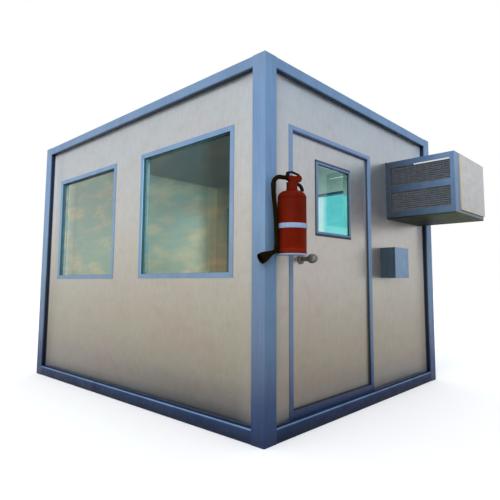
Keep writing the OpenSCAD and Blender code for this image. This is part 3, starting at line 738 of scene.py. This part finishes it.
class Shape:
    """A mesh under work, with the bmesh operators that the fittings share."""

    def __init__(self) -> None:
        """Starts an empty mesh."""
        self.bm = bmesh.new()

    def bar(self, low: Point, high: Point, edge: float = 0.0) -> None:
        """Adds a bar by its limits, with rounded edges.

        Args:
            low: Lowest corner.
            high: Highest corner.
            edge: Radius of the edges.
        """
        a, b = Vector(low), Vector(high)
        size = Matrix.Diagonal((*(b - a), 1.0))
        made = bmesh.ops.create_cube(self.bm, size=1.0, matrix=Matrix.Translation((a + b) / 2) @ size)
        if edge > 0:
            edges = list({e for v in made["verts"] for e in v.link_edges})
            bmesh.ops.bevel(self.bm, geom=edges, offset=edge, segments=EDGE_STEPS, profile=0.5,
                            affect="EDGES", material=-1)

    def prism(self, section: Sequence[Point], run: Point) -> None:
        """Adds a section drawn out along a line.

        Args:
            section: Corners of the section.
            run: The way that it is drawn out.
        """
        face = self.bm.faces.new([self.bm.verts.new(p) for p in section])
        made = bmesh.ops.extrude_face_region(self.bm, geom=[face])
        moved = [g for g in made["geom"] if isinstance(g, bmesh.types.BMVert)]
        bmesh.ops.translate(self.bm, verts=moved, vec=Vector(run))

    def turned(self, profile: Sequence[tuple[float, float]], place: Matrix, steps: int) -> None:
        """Adds a turned shape.

        Args:
            profile: Radius and height of each point, in order.
            place: Where its foot stands and which way its axis points.
            steps: Steps of the full turn.
        """
        before = set(self.bm.verts)
        line = [self.bm.verts.new(place @ Vector((r, 0.0, z))) for r, z in profile]
        edges = [self.bm.edges.new(pair) for pair in zip(line, line[1:])]
        axis = place.to_3x3() @ Vector((0, 0, 1))
        bmesh.ops.spin(self.bm, geom=line + edges, cent=place.translation, axis=axis, angle=math.tau,
                       steps=steps, use_merge=True)
        fresh = [v for v in self.bm.verts if v not in before]
        bmesh.ops.remove_doubles(self.bm, verts=fresh, dist=1e-6)

    def screw(self, centre: Point, out: Point, radius: float) -> None:
        """Adds a low screw head with a socket.

        Args:
            centre: Point on the surface that it sits on.
            out: The way that the head points.
            radius: Radius of the head.
        """
        way = Vector(out)
        high = radius * HEAD_RISE
        place = Matrix.Translation(Vector(centre) + way * high / 2) @ facing(way)
        made = bmesh.ops.create_cone(self.bm, cap_ends=True, segments=SCREW_SIDES, radius1=radius,
                                     radius2=radius * HEAD_TAPER, depth=high, matrix=place)
        tops = [f for f in {f for v in made["verts"] for f in v.link_faces}
                if all((v.co - Vector(centre)).dot(way) > high * TOP_SHARE for v in f.verts)]
        bmesh.ops.inset_individual(self.bm, faces=tops, thickness=radius * SOCKET_RIM, depth=0.0)
        socket = list({v for f in tops for v in f.verts})
        bmesh.ops.translate(self.bm, verts=socket, vec=-way * high * SOCKET_DEPTH)

    def piece(self, name: str, finish: Coating, body: Body,
              smooth_deg: float = 30.0) -> bpy.types.Object:
        """Closes the mesh and hangs it on its body.

        Args:
            name: The piece's name.
            finish: Its finish.
            body: The body that it rides on.
            smooth_deg: Edges flatter than this look smooth.

        Returns:
            The finished object, with its place in its mesh.
        """
        bmesh.ops.recalc_face_normals(self.bm, faces=self.bm.faces)
        for face in self.bm.faces:
            face.smooth = True
        for edge in self.bm.edges:
            if len(edge.link_faces) == 2:
                edge.smooth = edge.calc_face_angle() < math.radians(smooth_deg)
        mesh = bpy.data.meshes.new(name)
        self.bm.to_mesh(mesh)
        self.bm.free()
        return hang(new_object(name, mesh), finish, body)


def hang(made: bpy.types.Object, finish: Coating, body: Body) -> bpy.types.Object:
    """Dresses a new piece and lets it ride on its body.

    Args:
        made: The piece.
        finish: Its finish.
        body: The body that it rides on.

    Returns:
        The same piece.
    """
    made.data.materials.clear()
    made.data.materials.append(finish.material())
    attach(made, body.value)
    LOG.info("piece %s on %s", made.name, body.value)
    return made


def dress(finish: Coating, *nodes: str) -> None:
    """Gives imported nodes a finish.

    Args:
        finish: The finish.
        *nodes: Names of the nodes.
    """
    for name in nodes:
        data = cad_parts[name].data
        data.materials.clear()
        data.materials.append(finish.material())
        LOG.info("node %s in %s", name, finish.name)


@dataclass
class PhotoCamera:
    """The camera at the photograph's view, solved from the corners of the frame."""

    spot: Point = (3.76696, -3.48268, 1.04458)
    yaw_deg: float = 41.353
    pitch_deg: float = 5.4355
    focal_px: float = 451.31
    centre_px: tuple[float, float] = (277.363, 238.075)
    sensor_mm: float = 36.0
    clip_end: float = 200.0

    def build(self) -> None:
        """Makes the camera and gives it to the scene."""
        data = bpy.data.cameras.new("photo_camera")
        data.sensor_width = self.sensor_mm
        data.lens = self.focal_px / IMAGE_PX * self.sensor_mm
        data.shift_x = 0.5 - self.centre_px[0] / IMAGE_PX
        data.shift_y = self.centre_px[1] / IMAGE_PX - 0.5
        data.clip_end = self.clip_end
        made = new_object("photo_camera", data)
        made.location = self.spot
        made.rotation_euler = (math.radians(90 + self.pitch_deg), 0.0, math.radians(self.yaw_deg))
        bpy.context.scene.camera = made


@dataclass
class Studio:
    """White surround, pale floor that keeps the shadow, soft sky and one soft key lamp."""

    floor_half: float = 40.0
    floor_drop: float = 0.001
    sky: float = 1.05
    sky_tint: str = "#f4f8ff"
    floor_bounce: str = "#8f8f8f"
    floor_shown: str = "#e9e9e9"
    floor_lift: float = 0.14
    key_strength: float = 1.75
    key_from: Point = (0.45, -0.72, 0.53)
    key_angle_deg: float = 50.0
    cabin_watts: float = 220.0
    cabin_size: tuple[float, float] = (2.0, 1.4)
    cabin_spot: Point = (1.45, 0.0, 1.75)
    cabin_from: Point = (1.0, 0.0, 0.12)

    def build(self) -> None:
        """Makes world, floor and lamps."""
        bpy.context.scene.view_settings.view_transform = "Standard"
        self._world()
        self._floor()
        self._key()
        self._cabin()

    @staticmethod
    def _seen(tree: bpy.types.NodeTree) -> bpy.types.NodeSocket:
        """Adds what is 1 for the rays that show the background: camera, glossy and transmission."""
        rays = add(tree, "ShaderNodeLightPath").outputs
        share = rays["Is Camera Ray"]
        for kind in ("Is Glossy Ray", "Is Transmission Ray"):
            share = add(tree, "ShaderNodeMath", {0: share, 1: rays[kind]}, operation="MAXIMUM").outputs[0]
        return share

    def _world(self) -> None:
        """White to the eye and in reflections, an even soft sky to light by."""
        world = bpy.data.worlds.new("studio_white")
        bpy.context.scene.world = world
        world.use_nodes = True
        tree = world.node_tree
        tree.nodes.clear()
        light = add(tree, "ShaderNodeBackground", {0: linear(self.sky_tint), 1: self.sky})
        white = add(tree, "ShaderNodeBackground", {0: WHITE, 1: 1.0})
        mix = add(tree, "ShaderNodeMixShader",
                  {0: self._seen(tree), 1: light.outputs[0], 2: white.outputs[0]})
        add(tree, "ShaderNodeOutputWorld", {0: mix.outputs[0]})

    def _floor(self) -> None:
        """A wide floor, white to the eye, with the booth's shadow on it."""
        bm = bmesh.new()
        bmesh.ops.create_grid(bm, x_segments=1, y_segments=1, size=self.floor_half)
        mesh = bpy.data.meshes.new("studio_floor")
        bm.to_mesh(mesh)
        bm.free()
        made = new_object("studio_floor", mesh)
        made.location = (0.0, 0.0, -self.floor_drop)
        mat = bpy.data.materials.new("studio_floor_paint")
        mat.use_nodes = True
        tree = mat.node_tree
        tree.nodes.clear()
        grey = add(tree, "ShaderNodeBsdfDiffuse", {0: linear(self.floor_bounce)})
        pale = add(tree, "ShaderNodeBsdfDiffuse", {0: linear(self.floor_shown)})
        lift = add(tree, "ShaderNodeEmission", {0: WHITE, 1: self.floor_lift})
        shown = add(tree, "ShaderNodeAddShader", {0: pale.outputs[0], 1: lift.outputs[0]})
        mix = add(tree, "ShaderNodeMixShader",
                  {0: self._seen(tree), 1: grey.outputs[0], 2: shown.outputs[0]})
        add(tree, "ShaderNodeOutputMaterial", {0: mix.outputs[0]})
        mesh.materials.append(mat)

    def _key(self) -> None:
        """One large soft lamp from the camera's side."""
        data = bpy.data.lights.new("soft_key", "SUN")
        data.energy = self.key_strength
        data.angle = math.radians(self.key_angle_deg)
        made = new_object("soft_key", data)
        made.rotation_euler = facing(Vector(self.key_from)).to_euler()

    def _cabin(self) -> None:
        """A soft lamp by the door that lights the inner walls and leaves the ceiling dim."""
        data = bpy.data.lights.new("cabin_fill", "AREA")
        data.shape = "RECTANGLE"
        data.size, data.size_y = self.cabin_size
        data.energy = self.cabin_watts
        made = new_object("cabin_fill", data)
        made.location = self.cabin_spot
        made.rotation_euler = facing(Vector(self.cabin_from)).to_euler()
        made.visible_camera = made.visible_glossy = made.visible_transmission = False


@dataclass
class Extinguisher:
    """The fire extinguisher: its hose first, then the turned cylinder and the small parts.

    Turned profiles hold a radius and a height in metres. The hose's route holds millimetres along the
    extinguisher's line and up.
    """

    axis: tuple[float, float] = (1.866, -1.175)
    foot: float = 1.223
    towards: tuple[float, float] = (0.30071, 0.95372)
    radius: float = 0.097
    wall: float = 0.372
    shoulder: float = 0.048
    foot_edge: float = 0.006
    foot_hollow: float = 0.004
    foot_ring: tuple[float, float] = (0.022, 0.016)
    seams_in: tuple[float, float] = (0.034, 0.010)
    seam_half: tuple[float, float] = (0.004, 0.002)
    seam_deep: float = 0.0009
    gauge_spot: Point = (0.049, 0.513, -0.013)
    bezel: Profile = (
        (0.0, 0.0), (0.0190, 0.0), (0.0195, 0.002), (0.0232, 0.002), (0.0242, 0.001), (0.0242, -0.004))
    nut: Profile = (
        (0.030, 0.0), (0.0385, 0.0), (0.0395, 0.001), (0.0395, 0.011), (0.0385, 0.012), (0.030, 0.012))
    nut_up: float = 0.426
    hose_from: tuple[float, float] = (-0.145, 0.454)
    hose_mm: Profile = (
        (0, 0), (0, -20), (1, -50), (4, -80), (8, -110), (12, -140), (15, -170), (18, -200), (20, -230),
        (22, -260), (23, -290), (24, -320), (25, -350), (25, -375), (25, -395), (25, -410))
    hose_radius: float = 0.015
    ferrule_radii: tuple[float, float, float] = (0.0147, 0.0162, 0.0171)
    ferrule_l: float = 0.030
    ferrule_drop: float = 0.022
    ferrule_edge: float = 0.001
    grooves: int = 3
    groove_pitch: float = 0.008
    groove_steps: tuple[float, ...] = (0.004, 0.0055, 0.0075, 0.009)

    def spot(self, along: float, up: float, side: float = 0.0) -> Vector:
        """Gives a point of the extinguisher in the booth's frame.

        Args:
            along: Distance from its axis towards the levers.
            up: Height over its underside.
            side: Distance to the left of that line.

        Returns:
            The point in metres.
        """
        x, y = self.towards
        across = self.axis[0] + along * x - side * y
        deep = self.axis[1] + along * y + side * x
        return Vector((across, deep, self.foot + up))

    def build(self) -> None:
        """Builds and dresses the extinguisher."""
        self._hose()
        self._cylinder()
        self._gauge()
        dress(Finishes.BRACKET.value, "extinguisher_bracket")
        dress(Finishes.RED.value, "extinguisher_valve")
        dress(Finishes.LEVER.value, "extinguisher_levers")
        dress(Finishes.HOSE.value, "hose_elbow")
        dress(Finishes.HORN.value, "extinguisher_horn")

    def _hose(self) -> None:
        """The hose hangs from the elbow to the horn on the route that the part's source has."""
        along, up = self.hose_from
        route = [self.spot(along + a / 1000, up + z / 1000) for a, z in self.hose_mm]
        data = bpy.data.curves.new("hose", "CURVE")
        data.dimensions = "3D"
        data.bevel_depth = self.hose_radius
        data.bevel_resolution = 8
        data.resolution_u = 6
        line = data.splines.new("BEZIER")
        line.bezier_points.add(len(route) - 1)
        for knot, point in zip(line.bezier_points, route):
            knot.co = point
            knot.handle_left_type = knot.handle_right_type = "AUTO"
        made = new_object("hose", data)
        hang(made, Finishes.HOSE.value, Body.BOOTH)
        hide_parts("extinguisher_hose")
        ferrule = self._ferrule(route[0])

    def _ferrule(self, start: Vector) -> bpy.types.Object:
        """Makes the grooved sleeve that grips the hose under the elbow.

        Args:
            start: Where the hose leaves the elbow.

        Returns:
            The sleeve.
        """
        inner, groove, outer = self.ferrule_radii
        profile = [(inner, 0.0), (outer, self.ferrule_edge)]
        for i in range(self.grooves):
            heights = [step + i * self.groove_pitch for step in self.groove_steps]
            profile += zip((outer, groove, groove, outer), heights)
        profile += [(outer, self.ferrule_l - self.ferrule_edge), (inner, self.ferrule_l)]
        shape = Shape()
        shape.turned(profile, Matrix.Translation(start - Vector((0, 0, self.ferrule_drop))), steps=32)
        return shape.piece("hose_ferrule", Finishes.LEVER.value, Body.BOOTH)

    def _cylinder(self) -> None:
        """Drawn steel cylinder with a rolled foot, two weld lines and a round shoulder."""
        r, edge, top = self.radius, self.foot_edge, self.wall + self.shoulder
        hollow, (inner, outer) = self.foot_hollow, self.foot_ring
        profile = [(0.0, hollow), (r - inner, hollow), (r - outer, 0.0), (r - edge, 0.0)]
        profile += [(r - edge + edge * math.sin(a), edge - edge * math.cos(a))
                    for a in (math.radians(d) for d in range(15, 91, 15))]
        wide, narrow = self.seam_half
        valley = r - self.seam_deep
        for seam in (self.seams_in[0], self.wall - self.seams_in[1]):
            profile += [(r, seam - wide), (valley, seam - narrow)]
            profile += [(valley, seam + narrow), (r, seam + wide)]
        bend = self.shoulder
        profile += [(r - bend + bend * math.cos(a), self.wall + bend * math.sin(a))
                    for a in (math.radians(d) for d in range(0, 91, 6))]
        profile.append((0.0, top))
        shape = Shape()
        shape.turned(profile, Matrix.Translation(self.spot(0.0, 0.0)), steps=96)
        made = shape.piece("extinguisher_shell", Finishes.RED.value, Body.BOOTH)
        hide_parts("extinguisher_cylinder")

    def _gauge(self) -> None:
        """Raised bezel on the outer face of the gauge, and the ring nut under the valve."""
        shape = Shape()
        out = Vector((self.towards[1], -self.towards[0], 0.0))
        shape.turned(self.bezel, Matrix.Translation(self.spot(*self.gauge_spot)) @ facing(out), steps=40)
        shape.turned(self.nut, Matrix.Translation(self.spot(0.0, self.nut_up)), steps=12)
        shape.piece("gauge_bezel", Finishes.RED.value, Body.BOOTH, smooth_deg=25.0)


@dataclass
class BoothFrame:
    """Posts, rails and joists, their welds and the sealant in the recess of the frame."""

    bead: float = 0.006
    edge: float = 0.006
    door_frame: tuple[float, float] = (-1.0375, 0.1175)

    def build(self) -> None:
        """Dresses the frame, closes its joints and runs the sealant."""
        dress(Finishes.FRAME.value, "post_front_left", "post_front_right", "post_back_left",
              "post_back_right", "top_side_rails", "top_end_rails")
        dress(Finishes.BASE.value, "base_side_rails", "base_end_rails", "floor_joists")
        self._welds()
        self._sealant()

    def _welds(self) -> None:
        """Ground weld beads that close the joints between rails and posts flush."""
        shape = Shape()
        r = self.edge
        for sx in (-1, 1):
            for sy in (-1, 1):
                for low, high in ((r, BASE - r), (WALL_TOP + r, HEIGHT - r)):
                    rise = (0, 0, high - low)
                    x, y = sx * IN_L, sy * HALF_W
                    shape.prism([(x, y, low), (x + sx * r, y, low), (x, y - sy * r, low)], rise)
                    x, y = sx * HALF_L, sy * IN_W
                    shape.prism([(x, y, low), (x, y + sy * r, low), (x - sx * r, y, low)], rise)
        shape.piece("frame_welds", Finishes.FRAME.value, Body.BOOTH)

    def _sealant(self) -> None:
        """One tooled bead in each inner corner between frame and panel, with a gap at the doorway."""
        # The bead's navy finish is painted shade of the recess
        shape = Shape()
        b = self.bead
        rise = (0, 0, WALL_TOP - BASE)
        for s in (-1, 1):
            y, x = s * PANEL_Y, s * PANEL_X
            out_y, out_x = y + s * b, x + s * b
            for z, up in ((BASE, 1), (WALL_TOP, -1)):
                top = z + up * b
                shape.prism([(-IN_L, y, z), (-IN_L, out_y, z), (-IN_L, y, top)], (2 * IN_L, 0, 0))
                whole = s == -1 or up == -1
                left, right = self.door_frame
                for lo, hi in ((-IN_W, IN_W),) if whole else ((-IN_W, left), (right, IN_W)):
                    shape.prism([(x, lo, z), (out_x, lo, z), (x, lo, top)], (0, hi - lo, 0))
            for t in (-1, 1):
                end_x, end_y = t * IN_L, t * IN_W
                shape.prism([(end_x, y, BASE), (end_x, out_y, BASE), (t * (IN_L - b), y, BASE)], rise)
                shape.prism([(x, end_y, BASE), (out_x, end_y, BASE), (x, t * (IN_W - b), BASE)], rise)
        shape.piece("panel_sealant", Finishes.SEALANT.value, Body.BOOTH)


@dataclass
class Shell:
    """Wall panels, floor, ceiling and roof, with the roof's screws and the trunking in the room."""

    rib_pitch: float = 0.300
    ribs: int = 5
    rib_top: float = 2.596
    screw_rows: tuple[float, ...] = (-1.10, -0.55, 0.0, 0.55, 1.10)
    trunk_z: float = 2.347
    trunk_x: float = 0.49
    trunk_h: float = 0.006
    trunk_deep: float = 0.008
    trunk_end: float = 0.020
    trunk_edge: float = 0.002

    def build(self) -> None:
        """Dresses the shell and adds its fittings."""
        dress(Finishes.PANEL.value, "front_wall", "back_wall", "left_wall", "door_wall_strip",
              "door_wall_over", "door_wall_far", "door_leaf")
        dress(Finishes.FLOOR.value, "floor_panel")
        dress(Finishes.CEILING.value, "ceiling_panel")
        dress(Finishes.ROOF.value, "roof_sheet")
        self._roof_screws()
        self._trunking()

    def _roof_screws(self) -> None:
        """A washer screw on each rib over the purlins."""
        shape = Shape()
        for i in range(-self.ribs, self.ribs + 1):
            for y in self.screw_rows:
                shape.screw((i * self.rib_pitch, y, self.rib_top), (0.0, 0.0, 1.0), ROOF_SCREW)
        shape.piece("roof_screws", Finishes.HINGE.value, Body.BOOTH)

    def _trunking(self) -> None:
        """Cable trunking along the back wall, seen through the glass of the door."""
        shape = Shape()
        half = self.trunk_h / 2
        low = (self.trunk_x, IN_W - self.trunk_deep, self.trunk_z - half)
        high = (IN_L - self.trunk_end, IN_W - CLEAR, self.trunk_z + half)
        shape.bar(low, high, self.trunk_edge)
        shape.piece("cable_trunking", Finishes.TRUNKING.value, Body.BOOTH)


@dataclass
class Windows:
    """Frames, panes and putty of the long sides."""

    centre: float = 0.8275
    shift: float = 0.014
    clear_w: float = 1.140
    low: float = 1.106
    high: float = 2.140
    glass: float = 1.262
    glass_t: float = 0.006
    lip: float = 0.002
    putty: float = 0.006
    putty_edge: float = 0.0008
    flange: float = 0.020
    screw_gaps: int = 4

    def build(self) -> None:
        """Dresses the windows and adds their putty and screws."""
        dress(Finishes.TRIM.value, "front_window_frames", "back_window_frames")
        dress(WINDOW_GLASS, "front_window_panes")
        dress(BACK_GLASS, "back_window_panes")
        self._putty()
        self._screws()

    def _centres(self, side: int) -> tuple[float, float]:
        """Gives the middles of the two windows of a long side."""
        return side * self.shift - self.centre, side * self.shift + self.centre

    def _putty(self) -> None:
        """A line of putty round each pane, on both faces."""
        shape = Shape()
        for s in (-1, 1):
            for c in self._centres(s):
                for face, way in ((self.glass, 1), (self.glass - self.glass_t, -1)):
                    y0, y1 = sorted((s * (face + way * CLEAR), s * (face + way * self.putty)))
                    x0, x1 = c - self.clear_w / 2 + CLEAR, c + self.clear_w / 2 - CLEAR
                    z0, z1 = self.low + CLEAR, self.high - CLEAR
                    lip, edge = self.lip, self.putty_edge
                    for z in (z0, z1 - lip):
                        shape.bar((x0, y0, z), (x1, y1, z + lip), edge)
                    for x in (x0, x1 - lip):
                        shape.bar((x, y0, z0 + lip), (x + lip, y1, z1 - lip), edge)
        shape.piece("window_putty", Finishes.PUTTY.value, Body.BOOTH)

    def _screws(self) -> None:
        """Painted screws along the faces of the frames."""
        shape = Shape()
        f = self.flange
        for s in (-1, 1):
            for c in self._centres(s):
                y = s * (PANEL_Y + FRAME_PROUD)
                x0, x1 = c - self.clear_w / 2 - f, c + self.clear_w / 2 + f
                z0, z1 = self.low - f, self.high + f
                gaps = self.screw_gaps
                for i in range(gaps + 1):
                    for z in (z0, z1):
                        shape.screw((x0 + (x1 - x0) * i / gaps, y, z), (0.0, s, 0.0), FRAME_SCREW)
                for i in range(1, gaps):
                    for x in (x0, x1):
                        shape.screw((x, y, z0 + (z1 - z0) * i / gaps), (0.0, s, 0.0), FRAME_SCREW)
        shape.piece("window_screws", Finishes.TRIM.value, Body.BOOTH)


@dataclass
class Door:
    """Door frame, leaf glazing, hinges and knob."""

    clear: tuple[float, float] = (-0.995, 0.075)
    sill: float = 0.151
    top: float = 2.138
    stop_back: float = 1.713
    leaf_face: float = 1.707
    pane: tuple[float, float, float, float] = (-0.666, -0.226, 1.424, 1.960)
    pane_face: float = 0.026
    hinge_y: float = 0.0875
    hinge_heights: tuple[float, ...] = (0.382, 1.1445, 1.907)
    plate_x: float = 1.651
    plate_screws: Profile = ((-0.042, 0.038), (0.0, 0.045), (0.042, 0.038))
    seal: float = 0.007
    seal_deep: float = 0.005
    seal_gap: float = 0.0005
    seal_edge: float = 0.002
    lip: float = 0.003
    lip_deep: float = 0.005
    lip_edge: float = 0.0012
    bead: float = 0.005
    bead_deep: float = 0.0045
    bead_edge: float = 0.0015

    def build(self) -> None:
        """Dresses the door and adds seal, gaskets, bead and screws."""
        dress(Finishes.DOOR_TRIM.value, "door_jambs", "door_threshold")
        dress(Finishes.HEAD_TRIM.value, "door_head")
        dress(Finishes.LEAF_TRIM.value, "door_window_frame")
        dress(LEAF_GLASS, "door_window_pane")
        dress(Finishes.HINGE.value, "hinge_fixed_halves", "hinge_door_halves")
        dress(Finishes.KNOB.value, "knob_roses", "door_knob")
        self._seal()
        self._gaskets()
        self._bead()
        self._hinge_screws()

    def _seal(self) -> None:
        """A rubber bulb on the back of the stops, just clear of the leaf."""
        shape = Shape()
        y0, y1 = self.clear
        x0, x1 = self.stop_back - self.seal_deep, self.stop_back - CLEAR
        w, gap, edge = self.seal, self.seal_gap, self.seal_edge
        shape.bar((x0, y0 - w, self.sill), (x1, y0 - gap, self.top), edge)
        shape.bar((x0, y1 + gap, self.sill), (x1, y1 + w, self.top), edge)
        shape.bar((x0, y0 - w, self.top + gap), (x1, y1 + w, self.top + w), edge)
        shape.piece("door_seal", Finishes.GASKET.value, Body.BOOTH)

    def _gaskets(self) -> None:
        """A rubber lip round the pane of the leaf, on both faces."""
        shape = Shape()
        low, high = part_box("door_window_pane")
        y0, y1, z0, z1 = self.pane
        lip, edge = self.lip, self.lip_edge
        for near, far in ((high.x + CLEAR, high.x + self.lip_deep), (low.x - self.lip_deep, low.x - CLEAR)):
            for z in (z0 + CLEAR, z1 - lip - CLEAR):
                shape.bar((near, y0 + CLEAR, z), (far, y1 - CLEAR, z + lip), edge)
            for y in (y0 + CLEAR, y1 - lip - CLEAR):
                shape.bar((near, y, z0 + lip), (far, y + lip, z1 - lip), edge)
        shape.piece("leaf_gaskets", Finishes.GASKET.value, Body.DOOR)

    def _bead(self) -> None:
        """A bead on the leaf round the frame of its window, dark as painted shade and pale on the hinge
        side as a painted highlight.
        """
        shape = Shape()
        y0, y1, z0, z1 = self.pane
        near, far = self.leaf_face + CLEAR, self.leaf_face + self.bead_deep
        b, f, edge = self.bead, self.pane_face + CLEAR, self.bead_edge
        for z in (z0 - f - b, z1 + f):
            shape.bar((near, y0 - f - b, z), (far, y1 + f + b, z + b), edge)
        for y in (y0 - f - b, y1 + f):
            shape.bar((near, y, z0 - f), (far, y + b, z1 + f), edge)
        shape.piece("leaf_bead", Finishes.BEAD.value, Body.DOOR)

    def _hinge_screws(self) -> None:
        """Three screws in each hinge plate."""
        halves = ((1, Body.BOOTH, "hinge_screws_fixed"), (-1, Body.DOOR, "hinge_screws_leaf"))
        for side, body, name in halves:
            shape = Shape()
            for z in self.hinge_heights:
                for up, over in self.plate_screws:
                    spot = (self.plate_x, self.hinge_y + side * over, z + up)
                    shape.screw(spot, (-1.0, 0.0, 0.0), HINGE_SCREW)
            shape.piece(name, Finishes.HINGE.value, body)


@dataclass
class AirConditioner:
    """The through-wall air conditioner: case, louvres, end plate, pan and indoor front."""

    side: tuple[float, float] = (0.425, 1.165)
    field_x: tuple[float, float] = (1.763, 2.343)
    fields_z: tuple[tuple[float, float], ...] = ((1.700, 1.884), (1.940, 2.124))
    depth: float = 0.026
    end: float = 2.381
    case_z: float = 1.644
    fin_skin: tuple[float, float] = (0.0007, 0.0001)
    fin_in: float = 0.005
    strip_len: float = 0.330
    strip_high: float = 0.014
    strip_lap: float = 0.004
    strip_round: float = 0.002
    edging: float = 0.0035
    edging_h: float = 0.010
    edging_drop: float = 0.004
    edging_edge: float = 0.001
    edging_end: float = 0.001
    bead: float = 0.008

    def build(self) -> None:
        """Dresses the air conditioner and adds its trim."""
        dress(Finishes.CASE.value, "ac_case")
        dress(Finishes.LOUVRE.value, "ac_louvres")
        dress(Finishes.PLATE.value, "ac_end_plate")
        dress(Finishes.PAN.value, "ac_base_pan")
        dress(Finishes.ABS.value, "ac_indoor_front")
        self._fins()
        self._strip()
        self._edging()
        self._wall_seal()

    def _fins(self) -> None:
        """Grey fin sheets behind the blades."""
        shape = Shape()
        x0, x1 = self.field_x
        inset = self.fin_in
        for z0, z1 in self.fields_z:
            for y, way in ((self.side[0], 1), (self.side[1], -1)):
                y0, y1 = sorted(y + way * (self.depth - skin) for skin in self.fin_skin)
                shape.bar((x0 + inset, y0, z0 + inset), (x1 - inset, y1, z1 - inset))
        shape.piece("ac_fins", Finishes.FINS.value, Body.BOOTH)

    def _strip(self) -> None:
        """A pale strip along the top of the upper louvres."""
        shape = Shape()
        lap = self.strip_lap
        x1 = self.field_x[1] - lap
        y = self.side[0]
        z1 = self.fields_z[1][1] + lap
        shape.bar((x1 - self.strip_len, y - lap, z1 - self.strip_high), (x1, y + lap, z1), self.strip_round)
        shape.piece("ac_filter_pull", Finishes.ABS.value, Body.BOOTH)

    def _edging(self) -> None:
        """Cream edging on the near and lower edges of the end plate."""
        low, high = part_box("ac_end_plate")
        shape = Shape()
        x0, x1, y0 = self.end + CLEAR, high.x - CLEAR, low.y - self.edging
        upright = (x1, low.y - CLEAR, high.z)
        level = (x1, high.y - self.edging_end, low.z - CLEAR)
        shape.bar((x0, y0, low.z - self.edging_drop), upright, self.edging_edge)
        shape.bar((x0, y0, low.z - self.edging - self.edging_h), level, self.edging_edge)
        shape.piece("ac_plate_edging", Finishes.EDGING.value, Body.BOOTH)

    def _wall_seal(self) -> None:
        """Sealant where the case meets the panel, navy as painted shade of the joint."""
        shape = Shape()
        b, x = self.bead, PANEL_X
        y0, y1 = self.side
        z0, z1 = self.case_z, HEAD
        for y, edge in ((y0, y0 - b), (y1, y1 + b)):
            shape.prism([(x, y, z0), (x + b, y, z0), (x, edge, z0)], (0, 0, z1 - z0))
        shape.prism([(x, y0, z1), (x + b, y0, z1), (x, y0, z1 + b)], (0, y1 - y0, 0))
        shape.piece("ac_wall_sealant", Finishes.SEALANT.value, Body.BOOTH)


@dataclass
class ElectricBox:
    """The plain box beside the door."""

    inset: float = 0.018

    def build(self) -> None:
        """Dresses the box and adds the screws of its cover."""
        dress(Finishes.BOX.value, "electric_box")
        dress(Finishes.COVER.value, "electric_box_cover")
        low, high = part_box("electric_box_cover")
        shape = Shape()
        for y in (low.y + self.inset, high.y - self.inset):
            for z in (low.z + self.inset, high.z - self.inset):
                shape.screw((high.x, y, z), (1.0, 0.0, 0.0), FRAME_SCREW)
        shape.piece("box_screws", Finishes.COVER.value, Body.BOOTH)


def main() -> None:
    """Builds camera and cord, then the studio and every sub-assembly in order."""
    logging.basicConfig(level=logging.INFO, format="%(name)s: %(message)s")
    parts: Sequence[Buildable] = (PhotoCamera(), Extinguisher(), Studio(), BoothFrame(), Shell(),
                                  Windows(), Door(), AirConditioner(), ElectricBox())
    for part in parts:
        part.build()


if __name__ == "__main__":
    main()
